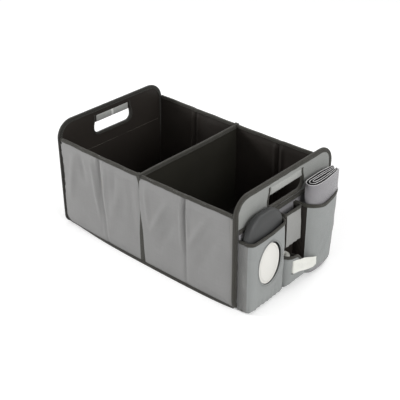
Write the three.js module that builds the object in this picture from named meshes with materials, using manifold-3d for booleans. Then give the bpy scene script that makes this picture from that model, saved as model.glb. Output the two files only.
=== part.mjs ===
// Folding trunk organizer: stiffened fabric panels sewn into an open box with a centre divider,
// cut-out handles in the taller end panels, and a row of hang-on pockets on one end.
// Millimetres, +Z up. X runs along the box, Y across it, and the floor is Z = 0.
import * as THREE from "three";
import { mergeVertices } from "three/addons/utils/BufferGeometryUtils.js";
import Module from "manifold-3d";

const wasm = await Module();
wasm.setup();

// Box
const LENGTH = 560; // between the inner faces of the two end panels
const WIDTH = 348; // over the outer fabric of the two side walls
const WALL_HEIGHT = 250;
const END_MARGIN = 4; // how far the end panels reach past the side walls
const END_HEIGHT = 290;
const END_TOP_RADIUS = 46;
const END_BOTTOM_RADIUS = 24;
const QUARTERS = 4; // boards along each side wall, with a fold between each two

// Cloth and boards
const CLOTH = 1.2; // outer fabric
const LINING = 1.0;
const WALL_BOARD = 3.0;
const END_BOARD = 3.5;
const BASE_BOARD = 4.0;
const BASE_CLOTH = 1.5;
const TAPE = 1.0; // binding tape
const SEAM = 0.3; // clearance between layers that lie on each other

// Seams and folds
const BINDING = 10; // how far a binding reaches in from the edge it covers
const HEM = 9; // turned-up edge of the base cloth
const FOLD_GAP = 11; // board-free strip at each fold
const FOLD_FLAT = 5; // width of the sewn bottom of the fold
const FOLD_DIP = 1.3; // how far the cloth is pulled in along the fold
const CORNER_TAPE = 8;
const BOARD_CORNER = 4; // rounded corners of the wall and base boards
const STRIP_WIDTH = 12; // tape down the middle of each wall, where the divider is sewn in

// Handles
const GRIP_DROP = 18; // from the panel's top edge to the grip
const GRIP_HEIGHT = 22;
const GRIP_WIDTH = 110;
const SLOT_WIDTH = 124;
const SLOT_HEIGHT = 30; // the opening below the grip
const SLOT_RADIUS = 15; // of its lower corners
const SLOT_TOP_RADIUS = 2;
const SLOT_BINDING = 6;
const SLOT_BINDING_CORNER = 3; // its upper corners
const GRIP_CLOTH = 2.0;
const GRIP_EDGE = 0.4; // rounding of the sleeve's open edges

// Pocket row on the +X end
const ROW_MARGIN = 11; // from the edge of the end panel
const ROW_BOTTOM = 4;
const ROW_DROP = 7; // from the slot to the top of the row
const ROW_CLOTH = 1.5;
const RIM_DROP = 23; // from the row's top to the mouth of its three upper pockets
const RIM_BINDING = 8;
const POCKET_CLOTH = 1.5;
const PLEAT_GAP = 1.2; // between the side walls of two pockets
const PLEAT_CORNER = 7;
const PLEAT_WIDTH = 7; // between the wipes pocket's binding and the small pocket's

const WIPES_POCKET_WIDTH = 127;
const WIPES_POCKET_CORNER = 18;
const MIDDLE_WIDTH = 74; // of the two middle pockets, and the mat pocket takes the rest
const SMALL_POCKET_BOTTOM = 102;
const SMALL_POCKET_DEPTH = 20;
const ROLL_POCKET_RIM = 88;
const ROLL_POCKET_DEPTH = 44;
const ROLL_POCKET_CORNER = 13;
const POCKET_TOE = 14; // rounding along the lower front edge of the deep pockets
const MAT_EASE = 11; // room behind the folded mat
const MAT_POCKET_NEAR = 18; // rounding of the mat pocket's near side, in depth
const MAT_POCKET_FULL = 34; // from its near side to where it stands out furthest
const MAT_POCKET_TAPER = 25; // how much shallower it is at its far side
const MAT_POCKET_CORNER = 20; // rounding of its lower outer corner

// Window in the first pocket and the wipes case behind it
const WINDOW_SHIFT = 1.5; // from the middle of the case, towards +Y
const WINDOW_DROP = 78; // from the pocket's mouth to the middle of the window
const WINDOW_WIDTH = 78;
const WINDOW_HEIGHT = 108;
const WINDOW_HEM = 4;
const HEM_CLOTH = 0.8;
const CASE_WIDTH = 118;
const CASE_TOP = 238;
const CASE_THICKNESS = 28.5;
const CASE_SHOULDER = 40; // radius of its upper corners
const CASE_FOOT = 18;
const CASE_EDGE = 14; // how far its rounded edge reaches in over the front and back faces
const CASE_EDGE_DEPTH = 11;
const CASE_WALL = 2;
const WIPES_WIDTH = 84;
const WIPES_HEIGHT = 180;
const WIPES_THICKNESS = 19;
const FRAME_WIDTH = 74; // oval frame of the lid
const FRAME_HEIGHT = 104;
const FRAME_LIP = 5;
const FRAME_SILL = 3;
const FRAME_DEPTH = 5.4;
const FRAME_PROUD = 0.4; // how far the frame stands out of the window
const LID_THICKNESS = 2;
const LID_GAP = 0.6; // round the lid
const LID_PROUD = 0.2; // above the rim of its frame
const HINGE_WIDTH = 12;
const HINGE_RADIUS = 1.9;
const HINGE_PIN = 0.8;
const HINGE_EAR = 3;

// Folded mat and bag roll
const MAT_TOP = 248;
const MAT_FAR_GAP = 13; // from the far end of its pocket
const MAT_LAYERS = 5;
const MAT_LAYER = 6.7; // thickness of a layer at its loose end
const MAT_GAP = 0.7;
const MAT_PINCH = 0.42; // share of that thickness at the far end, where the layers are pressed together
const MAT_FAR_DEPTH = 19; // from the row panel to the pinched end
const ROLL_RADIUS = 14.5;
const ROLL_CORE = 5;
const ROLL_SIDES = 24;
const ROLL_HEIGHT = 74;
const ROLL_EASE = 1.4; // between the roll and the side of its pocket
const BAG_FILM = 0.8;
const SLIT_SHIFT = 7; // from the roll's axis to the slit that the bag is pulled through
const BAG_LOW = 42;
const BAG_HIGH = 75;
const BAG_REACH = 22; // how far it lies over the mat pocket
const BAG_END_LOW = 31;
const BAG_END_HIGH = 57;
const SLIT = 2.2;

// Facets and cuts
const OVAL_STEPS = 16;
const CURVE_STEPS = 5;
const ARC_STEPS = 6; // for each quarter turn of a wide corner
const SMALL_ARC_STEPS = 3;
const CUT = 1; // how far a cutting shape runs past what it cuts

const GREY = new THREE.Color(0x98989a);
const DARK = new THREE.Color(0x3b3932);
const BLACK = new THREE.Color(0x1e1b18);
const CHARCOAL = new THREE.Color(0x4c4f52);
const WHITE = new THREE.Color(0xecebe4);

const materials = {
  cloth: new THREE.MeshStandardMaterial({ color: GREY, roughness: 0.85, metalness: 0 }),
  lining: new THREE.MeshStandardMaterial({ color: BLACK, roughness: 0.9, metalness: 0 }),
  binding: new THREE.MeshStandardMaterial({ color: DARK, roughness: 0.8, metalness: 0 }),
  board: new THREE.MeshStandardMaterial({ color: 0x8a7a60, roughness: 0.9, metalness: 0 }),
  charcoal: new THREE.MeshStandardMaterial({ color: CHARCOAL, roughness: 0.5, metalness: 0 }),
  white: new THREE.MeshStandardMaterial({ color: WHITE, roughness: 0.4, metalness: 0 }),
  film: new THREE.MeshStandardMaterial({ color: 0xe2e2da, roughness: 0.5, metalness: 0 }),
  wipes: new THREE.MeshStandardMaterial({ color: 0xf4f4f2, roughness: 0.95, metalness: 0 }),
};

const organizer = new THREE.Group();

// A closed geometry as a solid that can be joined and cut.
function solid(geometry) {
  const bare = geometry.index ? geometry.toNonIndexed() : geometry.clone();
  bare.deleteAttribute("normal");
  bare.deleteAttribute("uv");
  const merged = mergeVertices(bare, 1e-4);
  return new wasm.Manifold(
    new wasm.Mesh({
      numProp: 3,
      vertProperties: new Float32Array(merged.attributes.position.array),
      triVerts: new Uint32Array(merged.index.array),
    }),
  );
}

function geometryOf(body) {
  const mesh = body.getMesh();
  const geometry = new THREE.BufferGeometry();
  geometry.setAttribute("position", new THREE.BufferAttribute(mesh.vertProperties, 3));
  geometry.setIndex(new THREE.BufferAttribute(mesh.triVerts, 1));
  geometry.computeVertexNormals();
  return geometry;
}

function place(name, body, material) {
  const mesh = new THREE.Mesh(geometryOf(body), material);
  mesh.name = name;
  organizer.add(mesh);
}

function prism(shape, depth, curveSegments) {
  return new THREE.ExtrudeGeometry(shape, { depth, bevelEnabled: false, curveSegments });
}

// A (y, z) outline that fills x0 to x1.
function alongX(shape, x0, x1, curveSegments = ARC_STEPS) {
  const turn = new THREE.Matrix4().makeBasis(
    new THREE.Vector3(0, 1, 0),
    new THREE.Vector3(0, 0, 1),
    new THREE.Vector3(1, 0, 0),
  );
  return solid(prism(shape, x1 - x0, curveSegments).applyMatrix4(turn).translate(x0, 0, 0));
}

// An (x, z) outline that fills y0 to y1.
function alongY(shape, y0, y1, curveSegments = ARC_STEPS) {
  return solid(prism(shape, y1 - y0, curveSegments).rotateX(Math.PI / 2).translate(0, y1, 0));
}

// An (x, y) outline that fills z0 to z1.
function alongZ(shape, z0, z1, curveSegments = ARC_STEPS) {
  return solid(prism(shape, z1 - z0, curveSegments).translate(0, 0, z0));
}

function box(x0, x1, y0, y1, z0, z1) {
  const centre = [(x0 + x1) / 2, (y0 + y1) / 2, (z0 + z1) / 2];
  return solid(new THREE.BoxGeometry(x1 - x0, y1 - y0, z1 - z0).translate(...centre));
}

// A rectangle from (a0, b0) to (a1, b1) with its own radius for the lower and the upper corners.
function rounded(a0, b0, a1, b1, lower, upper = lower) {
  const shape = new THREE.Shape();
  shape.moveTo(a0 + lower, b0);
  shape.lineTo(a1 - lower, b0);
  shape.absarc(a1 - lower, b0 + lower, lower, -Math.PI / 2, 0);
  shape.lineTo(a1, b1 - upper);
  shape.absarc(a1 - upper, b1 - upper, upper, 0, Math.PI / 2);
  shape.lineTo(a0 + upper, b1);
  shape.absarc(a0 + upper, b1 - upper, upper, Math.PI / 2, Math.PI);
  shape.lineTo(a0, b0 + lower);
  shape.absarc(a0 + lower, b0 + lower, lower, Math.PI, 1.5 * Math.PI);
  return shape;
}

function polygon(points) {
  return new THREE.Shape(points.map(([a, b]) => new THREE.Vector2(a, b)));
}

function oval(a, b, width, height) {
  return new THREE.Shape().absellipse(a, b, width / 2, height / 2, 0, 2 * Math.PI);
}

// End panels

const ROOM = TAPE + SEAM; // what a binding adds on each face and past the edge
const endHalf = WIDTH / 2 + END_MARGIN;
const gripTop = END_HEIGHT - GRIP_DROP;
const slotTop = gripTop - GRIP_HEIGHT;
const slotBottom = slotTop - SLOT_HEIGHT;
const liningX = LENGTH / 2;
const endBoardX = liningX + LINING + SEAM;
const endClothX = endBoardX + END_BOARD + SEAM;
const endOuterX = endClothX + CLOTH;

function endOutline(grow) {
  const inset = ROOM - grow;
  return rounded(
    -endHalf + inset,
    inset,
    endHalf - inset,
    END_HEIGHT - inset,
    END_BOTTOM_RADIUS - inset,
    END_TOP_RADIUS - inset,
  );
}

// The hole in the panel, a little larger than the opening that its binding and grip leave.
function slotOutline(grow) {
  return rounded(
    -SLOT_WIDTH / 2 - ROOM - grow,
    slotBottom - ROOM - grow,
    SLOT_WIDTH / 2 + ROOM + grow,
    slotTop + GRIP_CLOTH + SEAM + grow,
    SLOT_RADIUS + grow,
    SLOT_TOP_RADIUS + grow,
  );
}

function endLayer(x0, x1, grow) {
  return alongX(endOutline(grow), x0, x1).subtract(alongX(slotOutline(-grow), x0 - CUT, x1 + CUT));
}

// Tape folded over the panel's outer edge.
function endBinding() {
  const whole = alongX(endOutline(ROOM), liningX - ROOM, endOuterX + ROOM);
  const inside = alongX(endOutline(-BINDING + ROOM), liningX - 2 * ROOM, endOuterX + 2 * ROOM);
  const channel = alongX(endOutline(SEAM), liningX - SEAM, endOuterX + SEAM);
  return whole.subtract(inside).subtract(channel);
}

// Tape folded over the sides and the lower edge of the slot, up to the ends of the grip.
function slotBinding() {
  const reach = SLOT_WIDTH / 2 + SLOT_BINDING;
  const face = rounded(
    -reach,
    slotBottom - SLOT_BINDING,
    reach,
    gripTop,
    SLOT_RADIUS + SLOT_BINDING,
    SLOT_BINDING_CORNER,
  );
  const whole = alongX(face, liningX - ROOM, endOuterX + ROOM);
  const opening = alongX(slotOutline(-ROOM), liningX - 2 * ROOM, endOuterX + 2 * ROOM);
  const panel = alongX(endOutline(0), liningX - SEAM, endOuterX + SEAM);
  const panelHole = alongX(slotOutline(-SEAM), liningX - CUT, endOuterX + CUT);
  const bar = box(
    liningX - 2 * ROOM,
    endOuterX + 2 * ROOM,
    -GRIP_WIDTH / 2 - SEAM,
    GRIP_WIDTH / 2 + SEAM,
    slotTop - CUT,
    gripTop + CUT,
  );
  return whole.subtract(opening).subtract(panel.subtract(panelHole)).subtract(bar);
}

// Padded sleeve round the bar above the slot.
function grip() {
  const low = liningX - SEAM - GRIP_CLOTH;
  const high = endOuterX + SEAM + GRIP_CLOTH;
  const section = rounded(low, slotTop, high, gripTop, GRIP_CLOTH, GRIP_EDGE);
  const whole = alongY(section, -GRIP_WIDTH / 2, GRIP_WIDTH / 2, SMALL_ARC_STEPS);
  const bar = box(
    low + GRIP_CLOTH,
    high - GRIP_CLOTH,
    -GRIP_WIDTH,
    GRIP_WIDTH,
    slotTop + GRIP_CLOTH,
    gripTop + CUT,
  );
  return whole.subtract(bar);
}

for (const [side, turn] of [["right", 0], ["left", Math.PI]]) {
  const pieces = [
    ["lining", endLayer(liningX, liningX + LINING, 0), materials.lining],
    ["board", endLayer(endBoardX, endBoardX + END_BOARD, 0), materials.board],
    ["cover", endLayer(endClothX, endOuterX, 0), materials.cloth],
    ["edge_binding", endBinding(), materials.binding],
    ["slot_binding", slotBinding(), materials.binding],
    ["grip", grip(), materials.cloth],
  ];
  for (const [piece, body, material] of pieces)
    place(side + "_end_" + piece, body.rotate([0, 0, THREE.MathUtils.radToDeg(turn)]), material);
}

// Side walls

const wallX = liningX - ROOM - SEAM; // the walls stop short of the bindings of the end panels
const wallOuter = WIDTH / 2;
const wallBoardY = wallOuter - CLOTH - SEAM;
const wallLiningY = wallBoardY - WALL_BOARD - SEAM;
const wallInner = wallLiningY - LINING;
const wallBottom = BASE_CLOTH + SEAM;
const wallTop = WALL_HEIGHT - ROOM;
const quarter = LENGTH / QUARTERS;

// A strip of cloth in plan from -wallX to wallX that is pulled in by dip along each fold.
function foldedStrip(outer, thickness, dip) {
  const line = [[-wallX, 0]];
  for (let fold = 1; fold < QUARTERS; fold++) {
    const x = -LENGTH / 2 + fold * quarter;
    line.push([x - FOLD_GAP / 2, 0], [x - FOLD_FLAT / 2, dip]);
    line.push([x + FOLD_FLAT / 2, dip], [x + FOLD_GAP / 2, 0]);
  }
  line.push([wallX, 0]);
  const near = line.map(([x, pull]) => [x, outer - pull]);
  const far = line.map(([x, pull]) => [x, outer - thickness - pull]).reverse();
  return polygon([...far, ...near].reverse());
}

function quarterBoard(index) {
  const first = index === 0;
  const last = index === QUARTERS - 1;
  const x0 = -LENGTH / 2 + index * quarter;
  const from = first ? -wallX : x0 + FOLD_GAP / 2;
  const to = last ? wallX : x0 + quarter - FOLD_GAP / 2;
  const outline = rounded(from, wallBottom, to, wallTop, BOARD_CORNER);
  return alongY(outline, wallBoardY - WALL_BOARD, wallBoardY, SMALL_ARC_STEPS);
}

function wallBinding() {
  const top = WALL_HEIGHT;
  const whole = box(-wallX, wallX, wallInner - ROOM, wallOuter + ROOM, top - BINDING, top);
  const low = top - BINDING - CUT;
  const channel = box(-LENGTH, LENGTH, wallInner - SEAM, wallOuter + SEAM, low, wallTop + SEAM);
  return whole.subtract(channel);
}

// The divider is sewn into the fold at mid length, under a tape that ends over the wall's binding.
const stripY = wallOuter + SEAM;
const tabY = wallOuter + ROOM + SEAM;

function middleTape() {
  const under = WALL_HEIGHT - BINDING - SEAM;
  const outline = polygon([
    [stripY, HEM + SEAM],
    [stripY + TAPE, HEM + SEAM],
    [stripY + TAPE, under - TAPE],
    [tabY + TAPE, under - TAPE],
    [tabY + TAPE, WALL_HEIGHT + SEAM + TAPE],
    [wallInner - ROOM, WALL_HEIGHT + SEAM + TAPE],
    [wallInner - ROOM, WALL_HEIGHT + SEAM],
    [tabY, WALL_HEIGHT + SEAM],
    [tabY, under],
    [stripY, under],
  ]);
  return alongX(outline, -STRIP_WIDTH / 2, STRIP_WIDTH / 2);
}

function cornerTape() {
  const x1 = wallX;
  return box(x1 - CORNER_TAPE, x1, stripY, stripY + TAPE, HEM + SEAM, WALL_HEIGHT - BINDING - SEAM);
}

for (const side of ["back", "front"]) {
  const cover = alongZ(foldedStrip(wallOuter, CLOTH, FOLD_DIP), wallBottom, wallTop);
  const lining = alongZ(foldedStrip(wallLiningY, LINING, -FOLD_DIP), wallBottom, wallTop);
  const pieces = [
    ["cover", cover, materials.cloth],
    ["lining", lining, materials.lining],
    ["binding", wallBinding(), materials.binding],
  ];
  for (let index = 0; index < QUARTERS; index++)
    pieces.push(["board_" + (index + 1), quarterBoard(index), materials.board]);
  for (const [piece, body, material] of pieces)
    place(side + "_wall_" + piece, side === "front" ? body.mirror([0, 1, 0]) : body, material);

  const tapes = [
    ["middle_tape", middleTape()],
    ["corner_tape_1", cornerTape().mirror([1, 0, 0])],
    ["corner_tape_2", cornerTape()],
  ];
  for (const [tape, body] of tapes)
    place(side + "_" + tape, side === "front" ? body.mirror([0, 1, 0]) : body, materials.binding);
}

// Divider

const dividerHalf = wallInner - SEAM;
const dividerTopHalf = wallInner - ROOM - SEAM; // between the bindings of the side walls
const dividerFaceX = WALL_BOARD / 2 + SEAM;
const dividerOuterX = dividerFaceX + LINING;

function dividerLayer(x0, x1) {
  const shoulder = WALL_HEIGHT - BINDING - SEAM;
  const outline = polygon([
    [-dividerHalf, wallBottom],
    [dividerHalf, wallBottom],
    [dividerHalf, shoulder],
    [dividerTopHalf, shoulder],
    [dividerTopHalf, wallTop],
    [-dividerTopHalf, wallTop],
    [-dividerTopHalf, shoulder],
    [-dividerHalf, shoulder],
  ]);
  return alongX(outline, x0, x1);
}

function dividerBinding() {
  const half = dividerOuterX + ROOM;
  const inner = dividerOuterX + SEAM;
  const low = WALL_HEIGHT - BINDING;
  const whole = box(-half, half, -dividerTopHalf, dividerTopHalf, low, WALL_HEIGHT);
  return whole.subtract(box(-inner, inner, -WIDTH, WIDTH, low - CUT, wallTop + SEAM));
}

place("divider_board", dividerLayer(-WALL_BOARD / 2, WALL_BOARD / 2), materials.board);
place("divider_face_left", dividerLayer(-dividerOuterX, -dividerFaceX), materials.lining);
place("divider_face_right", dividerLayer(dividerFaceX, dividerOuterX), materials.lining);
place("divider_binding", dividerBinding(), materials.binding);

// Base

const hemInner = wallOuter + SEAM;
const hemOuter = hemInner + BASE_CLOTH;

place(
  "base_cloth",
  alongX(
    polygon([
      [-hemOuter, 0],
      [hemOuter, 0],
      [hemOuter, HEM],
      [hemInner, HEM],
      [hemInner, BASE_CLOTH],
      [-hemInner, BASE_CLOTH],
      [-hemInner, HEM],
      [-hemOuter, HEM],
    ]),
    -wallX,
    wallX,
  ),
  materials.binding,
);

for (const [side, turn] of [["right", 0], ["left", 180]]) {
  const outline = rounded(dividerOuterX + SEAM, -dividerHalf, wallX, dividerHalf, BOARD_CORNER);
  const board = alongZ(outline, wallBottom, wallBottom + BASE_BOARD, SMALL_ARC_STEPS);
  place("base_board_" + side, board.rotate([0, 0, turn]), materials.lining);
}

// Pocket row

const rowX = endOuterX + ROOM + SEAM;
const rowFaceX = rowX + ROW_CLOTH;
const pocketX = rowFaceX + SEAM;
const contentX = rowFaceX + ROOM + SEAM; // what stands in the pockets clears the row's binding
const rowBack = endHalf - ROW_MARGIN;
const rowFront = -rowBack;
const rowTop = slotBottom - ROW_DROP;
const rimHeight = rowTop - RIM_DROP;
const windowZ = rimHeight - WINDOW_DROP;
const wipesBack = rowFront + WIPES_POCKET_WIDTH;
const middleBack = wipesBack + MIDDLE_WIDTH;

place("row_panel", box(rowX, rowFaceX, rowFront, rowBack, ROW_BOTTOM, rowTop - ROOM), materials.cloth);

const rowChannel = box(rowX - SEAM, rowFaceX + SEAM, rowFront - CUT, rowBack + CUT, 0, rowTop - TAPE);
place(
  "row_binding",
  box(rowX - ROOM, rowFaceX + ROOM, rowFront, rowBack, rowTop - BINDING, rowTop).subtract(rowChannel),
  materials.binding,
);

// The points of a closed outline moved out by a distance, or in by a negative one.
function offset(points, distance) {
  const count = points.length;
  return points.map((point, index) => {
    const before = new THREE.Vector2().subVectors(point, points[(index + count - 1) % count]).normalize();
    const after = new THREE.Vector2().subVectors(points[(index + 1) % count], point).normalize();
    const normal = new THREE.Vector2(before.y + after.y, -before.x - after.x);
    const scale = distance / (1 + before.dot(after));
    return new THREE.Vector2(point.x + normal.x * scale, point.y + normal.y * scale);
  });
}

// A pocket's plan runs counter-clockwise from the row panel, out along its -Y side, across its
// front and back again. This is the space inside it, open towards the panel.
function hollow(plan, inset) {
  const points = offset(plan, -inset);
  return new THREE.Shape(
    points.map(({ x, y }) => new THREE.Vector2(x < pocketX + inset + SEAM ? pocketX - inset : x, y)),
  );
}

// The pocket's block: its plan, its front outline and its rounded toe seen from the side.
function bag(plan, face, bottom, top, inset) {
  const front = Math.max(...plan.map(({ x }) => x)) - inset;
  const toe = POCKET_TOE - inset;
  const low = bottom + inset;
  const side = new THREE.Shape().moveTo(rowX, low).lineTo(front - toe, low);
  side.absarc(front - toe, low + toe, toe, -Math.PI / 2, 0);
  side.lineTo(front, END_HEIGHT).lineTo(rowX, END_HEIGHT);
  return alongZ(hollow(plan, inset), bottom, top)
    .intersect(alongX(face(inset), pocketX - CUT, pocketX + WIDTH))
    .intersect(alongY(side, -WIDTH, WIDTH, CURVE_STEPS));
}

function pocketShell(plan, face, bottom, rim) {
  const outer = bag(plan, face, bottom, rim - ROOM, 0);
  return outer.subtract(bag(plan, face, bottom, rim + CUT, POCKET_CLOTH));
}

function ring(plan, outward, inward, z0, z1) {
  const outer = alongZ(new THREE.Shape(offset(plan, outward)), z0, z1);
  const inner = alongZ(hollow(plan, inward), z0 - CUT, z1 + CUT);
  return outer.subtract(inner);
}

function rimBinding(plan, rim) {
  const whole = ring(plan, ROOM, POCKET_CLOTH + ROOM, rim - RIM_BINDING, rim);
  const channel = ring(plan, SEAM, POCKET_CLOTH + SEAM, rim - RIM_BINDING - CUT, rim - TAPE);
  const row = box(0, pocketX, -WIDTH, WIDTH, 0, END_HEIGHT);
  return whole.subtract(channel).subtract(row);
}

// The path's points without those that lie on each other.
function planPoints(path) {
  const points = path.getPoints(CURVE_STEPS);
  return points.filter((point, index) => index === 0 || point.distanceTo(points[index - 1]) > SEAM / 10);
}

const caseY = (rowFront + wipesBack) / 2;
const caseFrontX = contentX + CASE_THICKNESS;
const wipesFrontX = caseFrontX + SEAM + FRAME_DEPTH - FRAME_PROUD;
const wipesPath = new THREE.Path();
wipesPath.moveTo(pocketX, rowFront);
wipesPath.lineTo(wipesFrontX - WIPES_POCKET_CORNER, rowFront);
wipesPath.quadraticCurveTo(wipesFrontX, rowFront, wipesFrontX, rowFront + WIPES_POCKET_CORNER);
wipesPath.lineTo(wipesFrontX, wipesBack - WIPES_POCKET_CORNER);
wipesPath.quadraticCurveTo(
  wipesFrontX,
  wipesBack,
  wipesFrontX - WIPES_POCKET_CORNER,
  wipesBack,
);
wipesPath.lineTo(pocketX, wipesBack);
const wipesPlan = planPoints(wipesPath);

const smallFront = wipesBack + 2 * ROOM + PLEAT_WIDTH;
const smallBack = middleBack - 2 * ROOM - PLEAT_GAP;
const smallX = pocketX + SMALL_POCKET_DEPTH;
const smallPlan = planPoints(
  new THREE.Path()
    .moveTo(pocketX, smallFront)
    .lineTo(smallX - PLEAT_CORNER, smallFront)
    .quadraticCurveTo(smallX, smallFront, smallX, smallFront + PLEAT_CORNER)
    .lineTo(smallX, smallBack - PLEAT_CORNER)
    .quadraticCurveTo(smallX, smallBack, smallX - PLEAT_CORNER, smallBack)
    .lineTo(pocketX, smallBack),
);

const rollFront = wipesBack + ROOM + SEAM;
const rollY = rollFront + POCKET_CLOTH + ROLL_EASE + ROLL_RADIUS;
const slitY = rollY + SLIT_SHIFT;
const rollBack = middleBack - ROOM - SEAM;
const rollX = pocketX + ROLL_POCKET_DEPTH;
const rollPlan = planPoints(
  new THREE.Path()
    .moveTo(pocketX, rollFront)
    .lineTo(rollX - ROLL_POCKET_CORNER, rollFront)
    .quadraticCurveTo(rollX, rollFront, rollX, rollFront + ROLL_POCKET_CORNER)
    .lineTo(rollX, rollBack - PLEAT_CORNER)
    .quadraticCurveTo(rollX, rollBack, rollX - PLEAT_CORNER, rollBack)
    .lineTo(pocketX, rollBack),
);

const matPitch = MAT_LAYER + MAT_GAP;
const matX = contentX + MAT_EASE + MAT_LAYERS * matPitch + POCKET_CLOTH;
const matFull = middleBack + MAT_POCKET_FULL;
const matFarX = matX - MAT_POCKET_TAPER;
const matPlan = planPoints(
  new THREE.Path()
    .moveTo(pocketX, middleBack)
    .lineTo(matX - MAT_POCKET_NEAR, middleBack)
    .quadraticCurveTo(matX, middleBack, matX, matFull)
    .bezierCurveTo(matX, (matFull + rowBack) / 2, (2 * matX + matFarX) / 3, rowBack, matFarX, rowBack)
    .lineTo(pocketX, rowBack),
);

function straightFace(bottom) {
  return (inset) => {
    const low = bottom + inset;
    return polygon([[-WIDTH, low], [WIDTH, low], [WIDTH, END_HEIGHT], [-WIDTH, END_HEIGHT]]);
  };
}

// The mat pocket's lower outer corner is cut away in a wide curve.
function matFace(inset) {
  const low = ROW_BOTTOM + inset;
  const back = rowBack - inset;
  const radius = MAT_POCKET_CORNER - inset;
  const shape = new THREE.Shape();
  shape.moveTo(0, low);
  shape.lineTo(back - radius, low);
  shape.absarc(back - radius, low + radius, radius, -Math.PI / 2, 0);
  shape.lineTo(back, END_HEIGHT);
  shape.lineTo(0, END_HEIGHT);
  return shape;
}

function windowOval(grow) {
  return oval(caseY + WINDOW_SHIFT, windowZ, WINDOW_WIDTH + 2 * grow, WINDOW_HEIGHT + 2 * grow);
}

function wipesPocket() {
  const shell = pocketShell(wipesPlan, straightFace(ROW_BOTTOM), ROW_BOTTOM, rimHeight);
  const clothX = wipesFrontX - POCKET_CLOTH / 2;
  const hem = alongX(windowOval(WINDOW_HEM), clothX, wipesFrontX + HEM_CLOTH, OVAL_STEPS);
  return shell.add(hem).subtract(alongX(windowOval(0), rowX, wipesFrontX + POCKET_CLOTH, OVAL_STEPS));
}

function rollPocket() {
  const shell = pocketShell(rollPlan, straightFace(ROW_BOTTOM), ROW_BOTTOM, ROLL_POCKET_RIM);
  const y0 = slitY - SLIT / 2;
  const slit = box(rollX - 2 * POCKET_CLOTH, rollX + CUT, y0, y0 + SLIT, BAG_LOW - SLIT, BAG_HIGH + SLIT);
  return shell.subtract(slit);
}

const smallFace = straightFace(SMALL_POCKET_BOTTOM);
place("wipes_pocket", wipesPocket(), materials.cloth);
place("wipes_pocket_rim", rimBinding(wipesPlan, rimHeight), materials.binding);
place("small_pocket", pocketShell(smallPlan, smallFace, SMALL_POCKET_BOTTOM, rimHeight), materials.cloth);
place("small_pocket_rim", rimBinding(smallPlan, rimHeight), materials.binding);
place("roll_pocket", rollPocket(), materials.cloth);
place("roll_pocket_rim", rimBinding(rollPlan, ROLL_POCKET_RIM), materials.binding);
place("mat_pocket", pocketShell(matPlan, matFace, ROW_BOTTOM, rimHeight), materials.cloth);
place("mat_pocket_rim", rimBinding(matPlan, rimHeight), materials.binding);

// Wipes case: two moulded half shells, with an oval lid in a frame on the front one.

const caseMidX = (contentX + caseFrontX) / 2;
const caseBottom = ROW_BOTTOM + POCKET_CLOTH + SEAM;

function caseOutline(inset) {
  const half = CASE_WIDTH / 2 - inset;
  return rounded(
    caseY - half,
    caseBottom + inset,
    caseY + half,
    CASE_TOP - inset,
    CASE_FOOT - inset,
    CASE_SHOULDER - inset,
  );
}

// The closed case as one block whose front and back edges are rounded, cut down by inset all round.
function caseBlock(inset) {
  const geometry = new THREE.ExtrudeGeometry(caseOutline(CASE_EDGE), {
    depth: CASE_THICKNESS - 2 * CASE_EDGE_DEPTH,
    bevelThickness: CASE_EDGE_DEPTH - inset,
    bevelSize: CASE_EDGE - inset,
    bevelSegments: 3,
    curveSegments: 5,
  });
  const turn = new THREE.Matrix4().makeBasis(
    new THREE.Vector3(0, 1, 0),
    new THREE.Vector3(0, 0, 1),
    new THREE.Vector3(1, 0, 0),
  );
  return solid(geometry.applyMatrix4(turn).translate(contentX + CASE_EDGE_DEPTH, 0, 0));
}

const lidX = caseFrontX + SEAM + FRAME_DEPTH + LID_PROUD; // outer face of the lid
const hingeX = lidX - HINGE_RADIUS;
const lidHeight = FRAME_HEIGHT - 2 * FRAME_LIP;
const hingeZ = windowZ + lidHeight / 2 + HINGE_RADIUS + LID_GAP;

function lidOval(grow) {
  const lip = 2 * FRAME_LIP - 2 * grow;
  return oval(caseY, windowZ, FRAME_WIDTH - lip, FRAME_HEIGHT - lip);
}

function caseHalf(x0, x1) {
  const half = box(x0, x1, -WIDTH, 0, 0, END_HEIGHT);
  return caseBlock(0).subtract(caseBlock(CASE_WALL)).intersect(half);
}

function caseFront() {
  const hole = alongX(lidOval(-FRAME_SILL), caseMidX, caseFrontX + CUT, OVAL_STEPS);
  return caseHalf(caseMidX + SEAM / 2, caseFrontX + CUT).subtract(hole);
}

// A short round bar along Y at the lid's hinge.
function hingeBar(radius, width, segments = 16) {
  const bar = new THREE.CylinderGeometry(radius, radius, width, segments);
  return solid(bar.translate(hingeX, caseY, hingeZ));
}

function lidFrame() {
  const back = caseFrontX + SEAM;
  const front = back + FRAME_DEPTH;
  const floor = lidX - LID_THICKNESS - SEAM;
  const rim = oval(caseY, windowZ, FRAME_WIDTH, FRAME_HEIGHT);
  const earY = HINGE_WIDTH / 2 + LID_GAP;
  const ears = box(
    back,
    front,
    caseY - earY - HINGE_EAR,
    caseY + earY + HINGE_EAR,
    hingeZ - HINGE_EAR,
    hingeZ + HINGE_RADIUS,
  );
  const notch = box(
    hingeX - HINGE_RADIUS - SEAM,
    front + CUT,
    caseY - earY,
    caseY + earY,
    hingeZ - 2 * HINGE_RADIUS,
    END_HEIGHT,
  );
  return alongX(rim, back, front, OVAL_STEPS)
    .add(ears)
    .subtract(alongX(lidOval(0), floor, front + CUT, OVAL_STEPS))
    .subtract(alongX(lidOval(-FRAME_SILL), back - CUT, front, OVAL_STEPS))
    .subtract(notch)
    .subtract(hingeBar(HINGE_PIN + SEAM, HINGE_WIDTH + 2 * HINGE_EAR));
}

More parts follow.
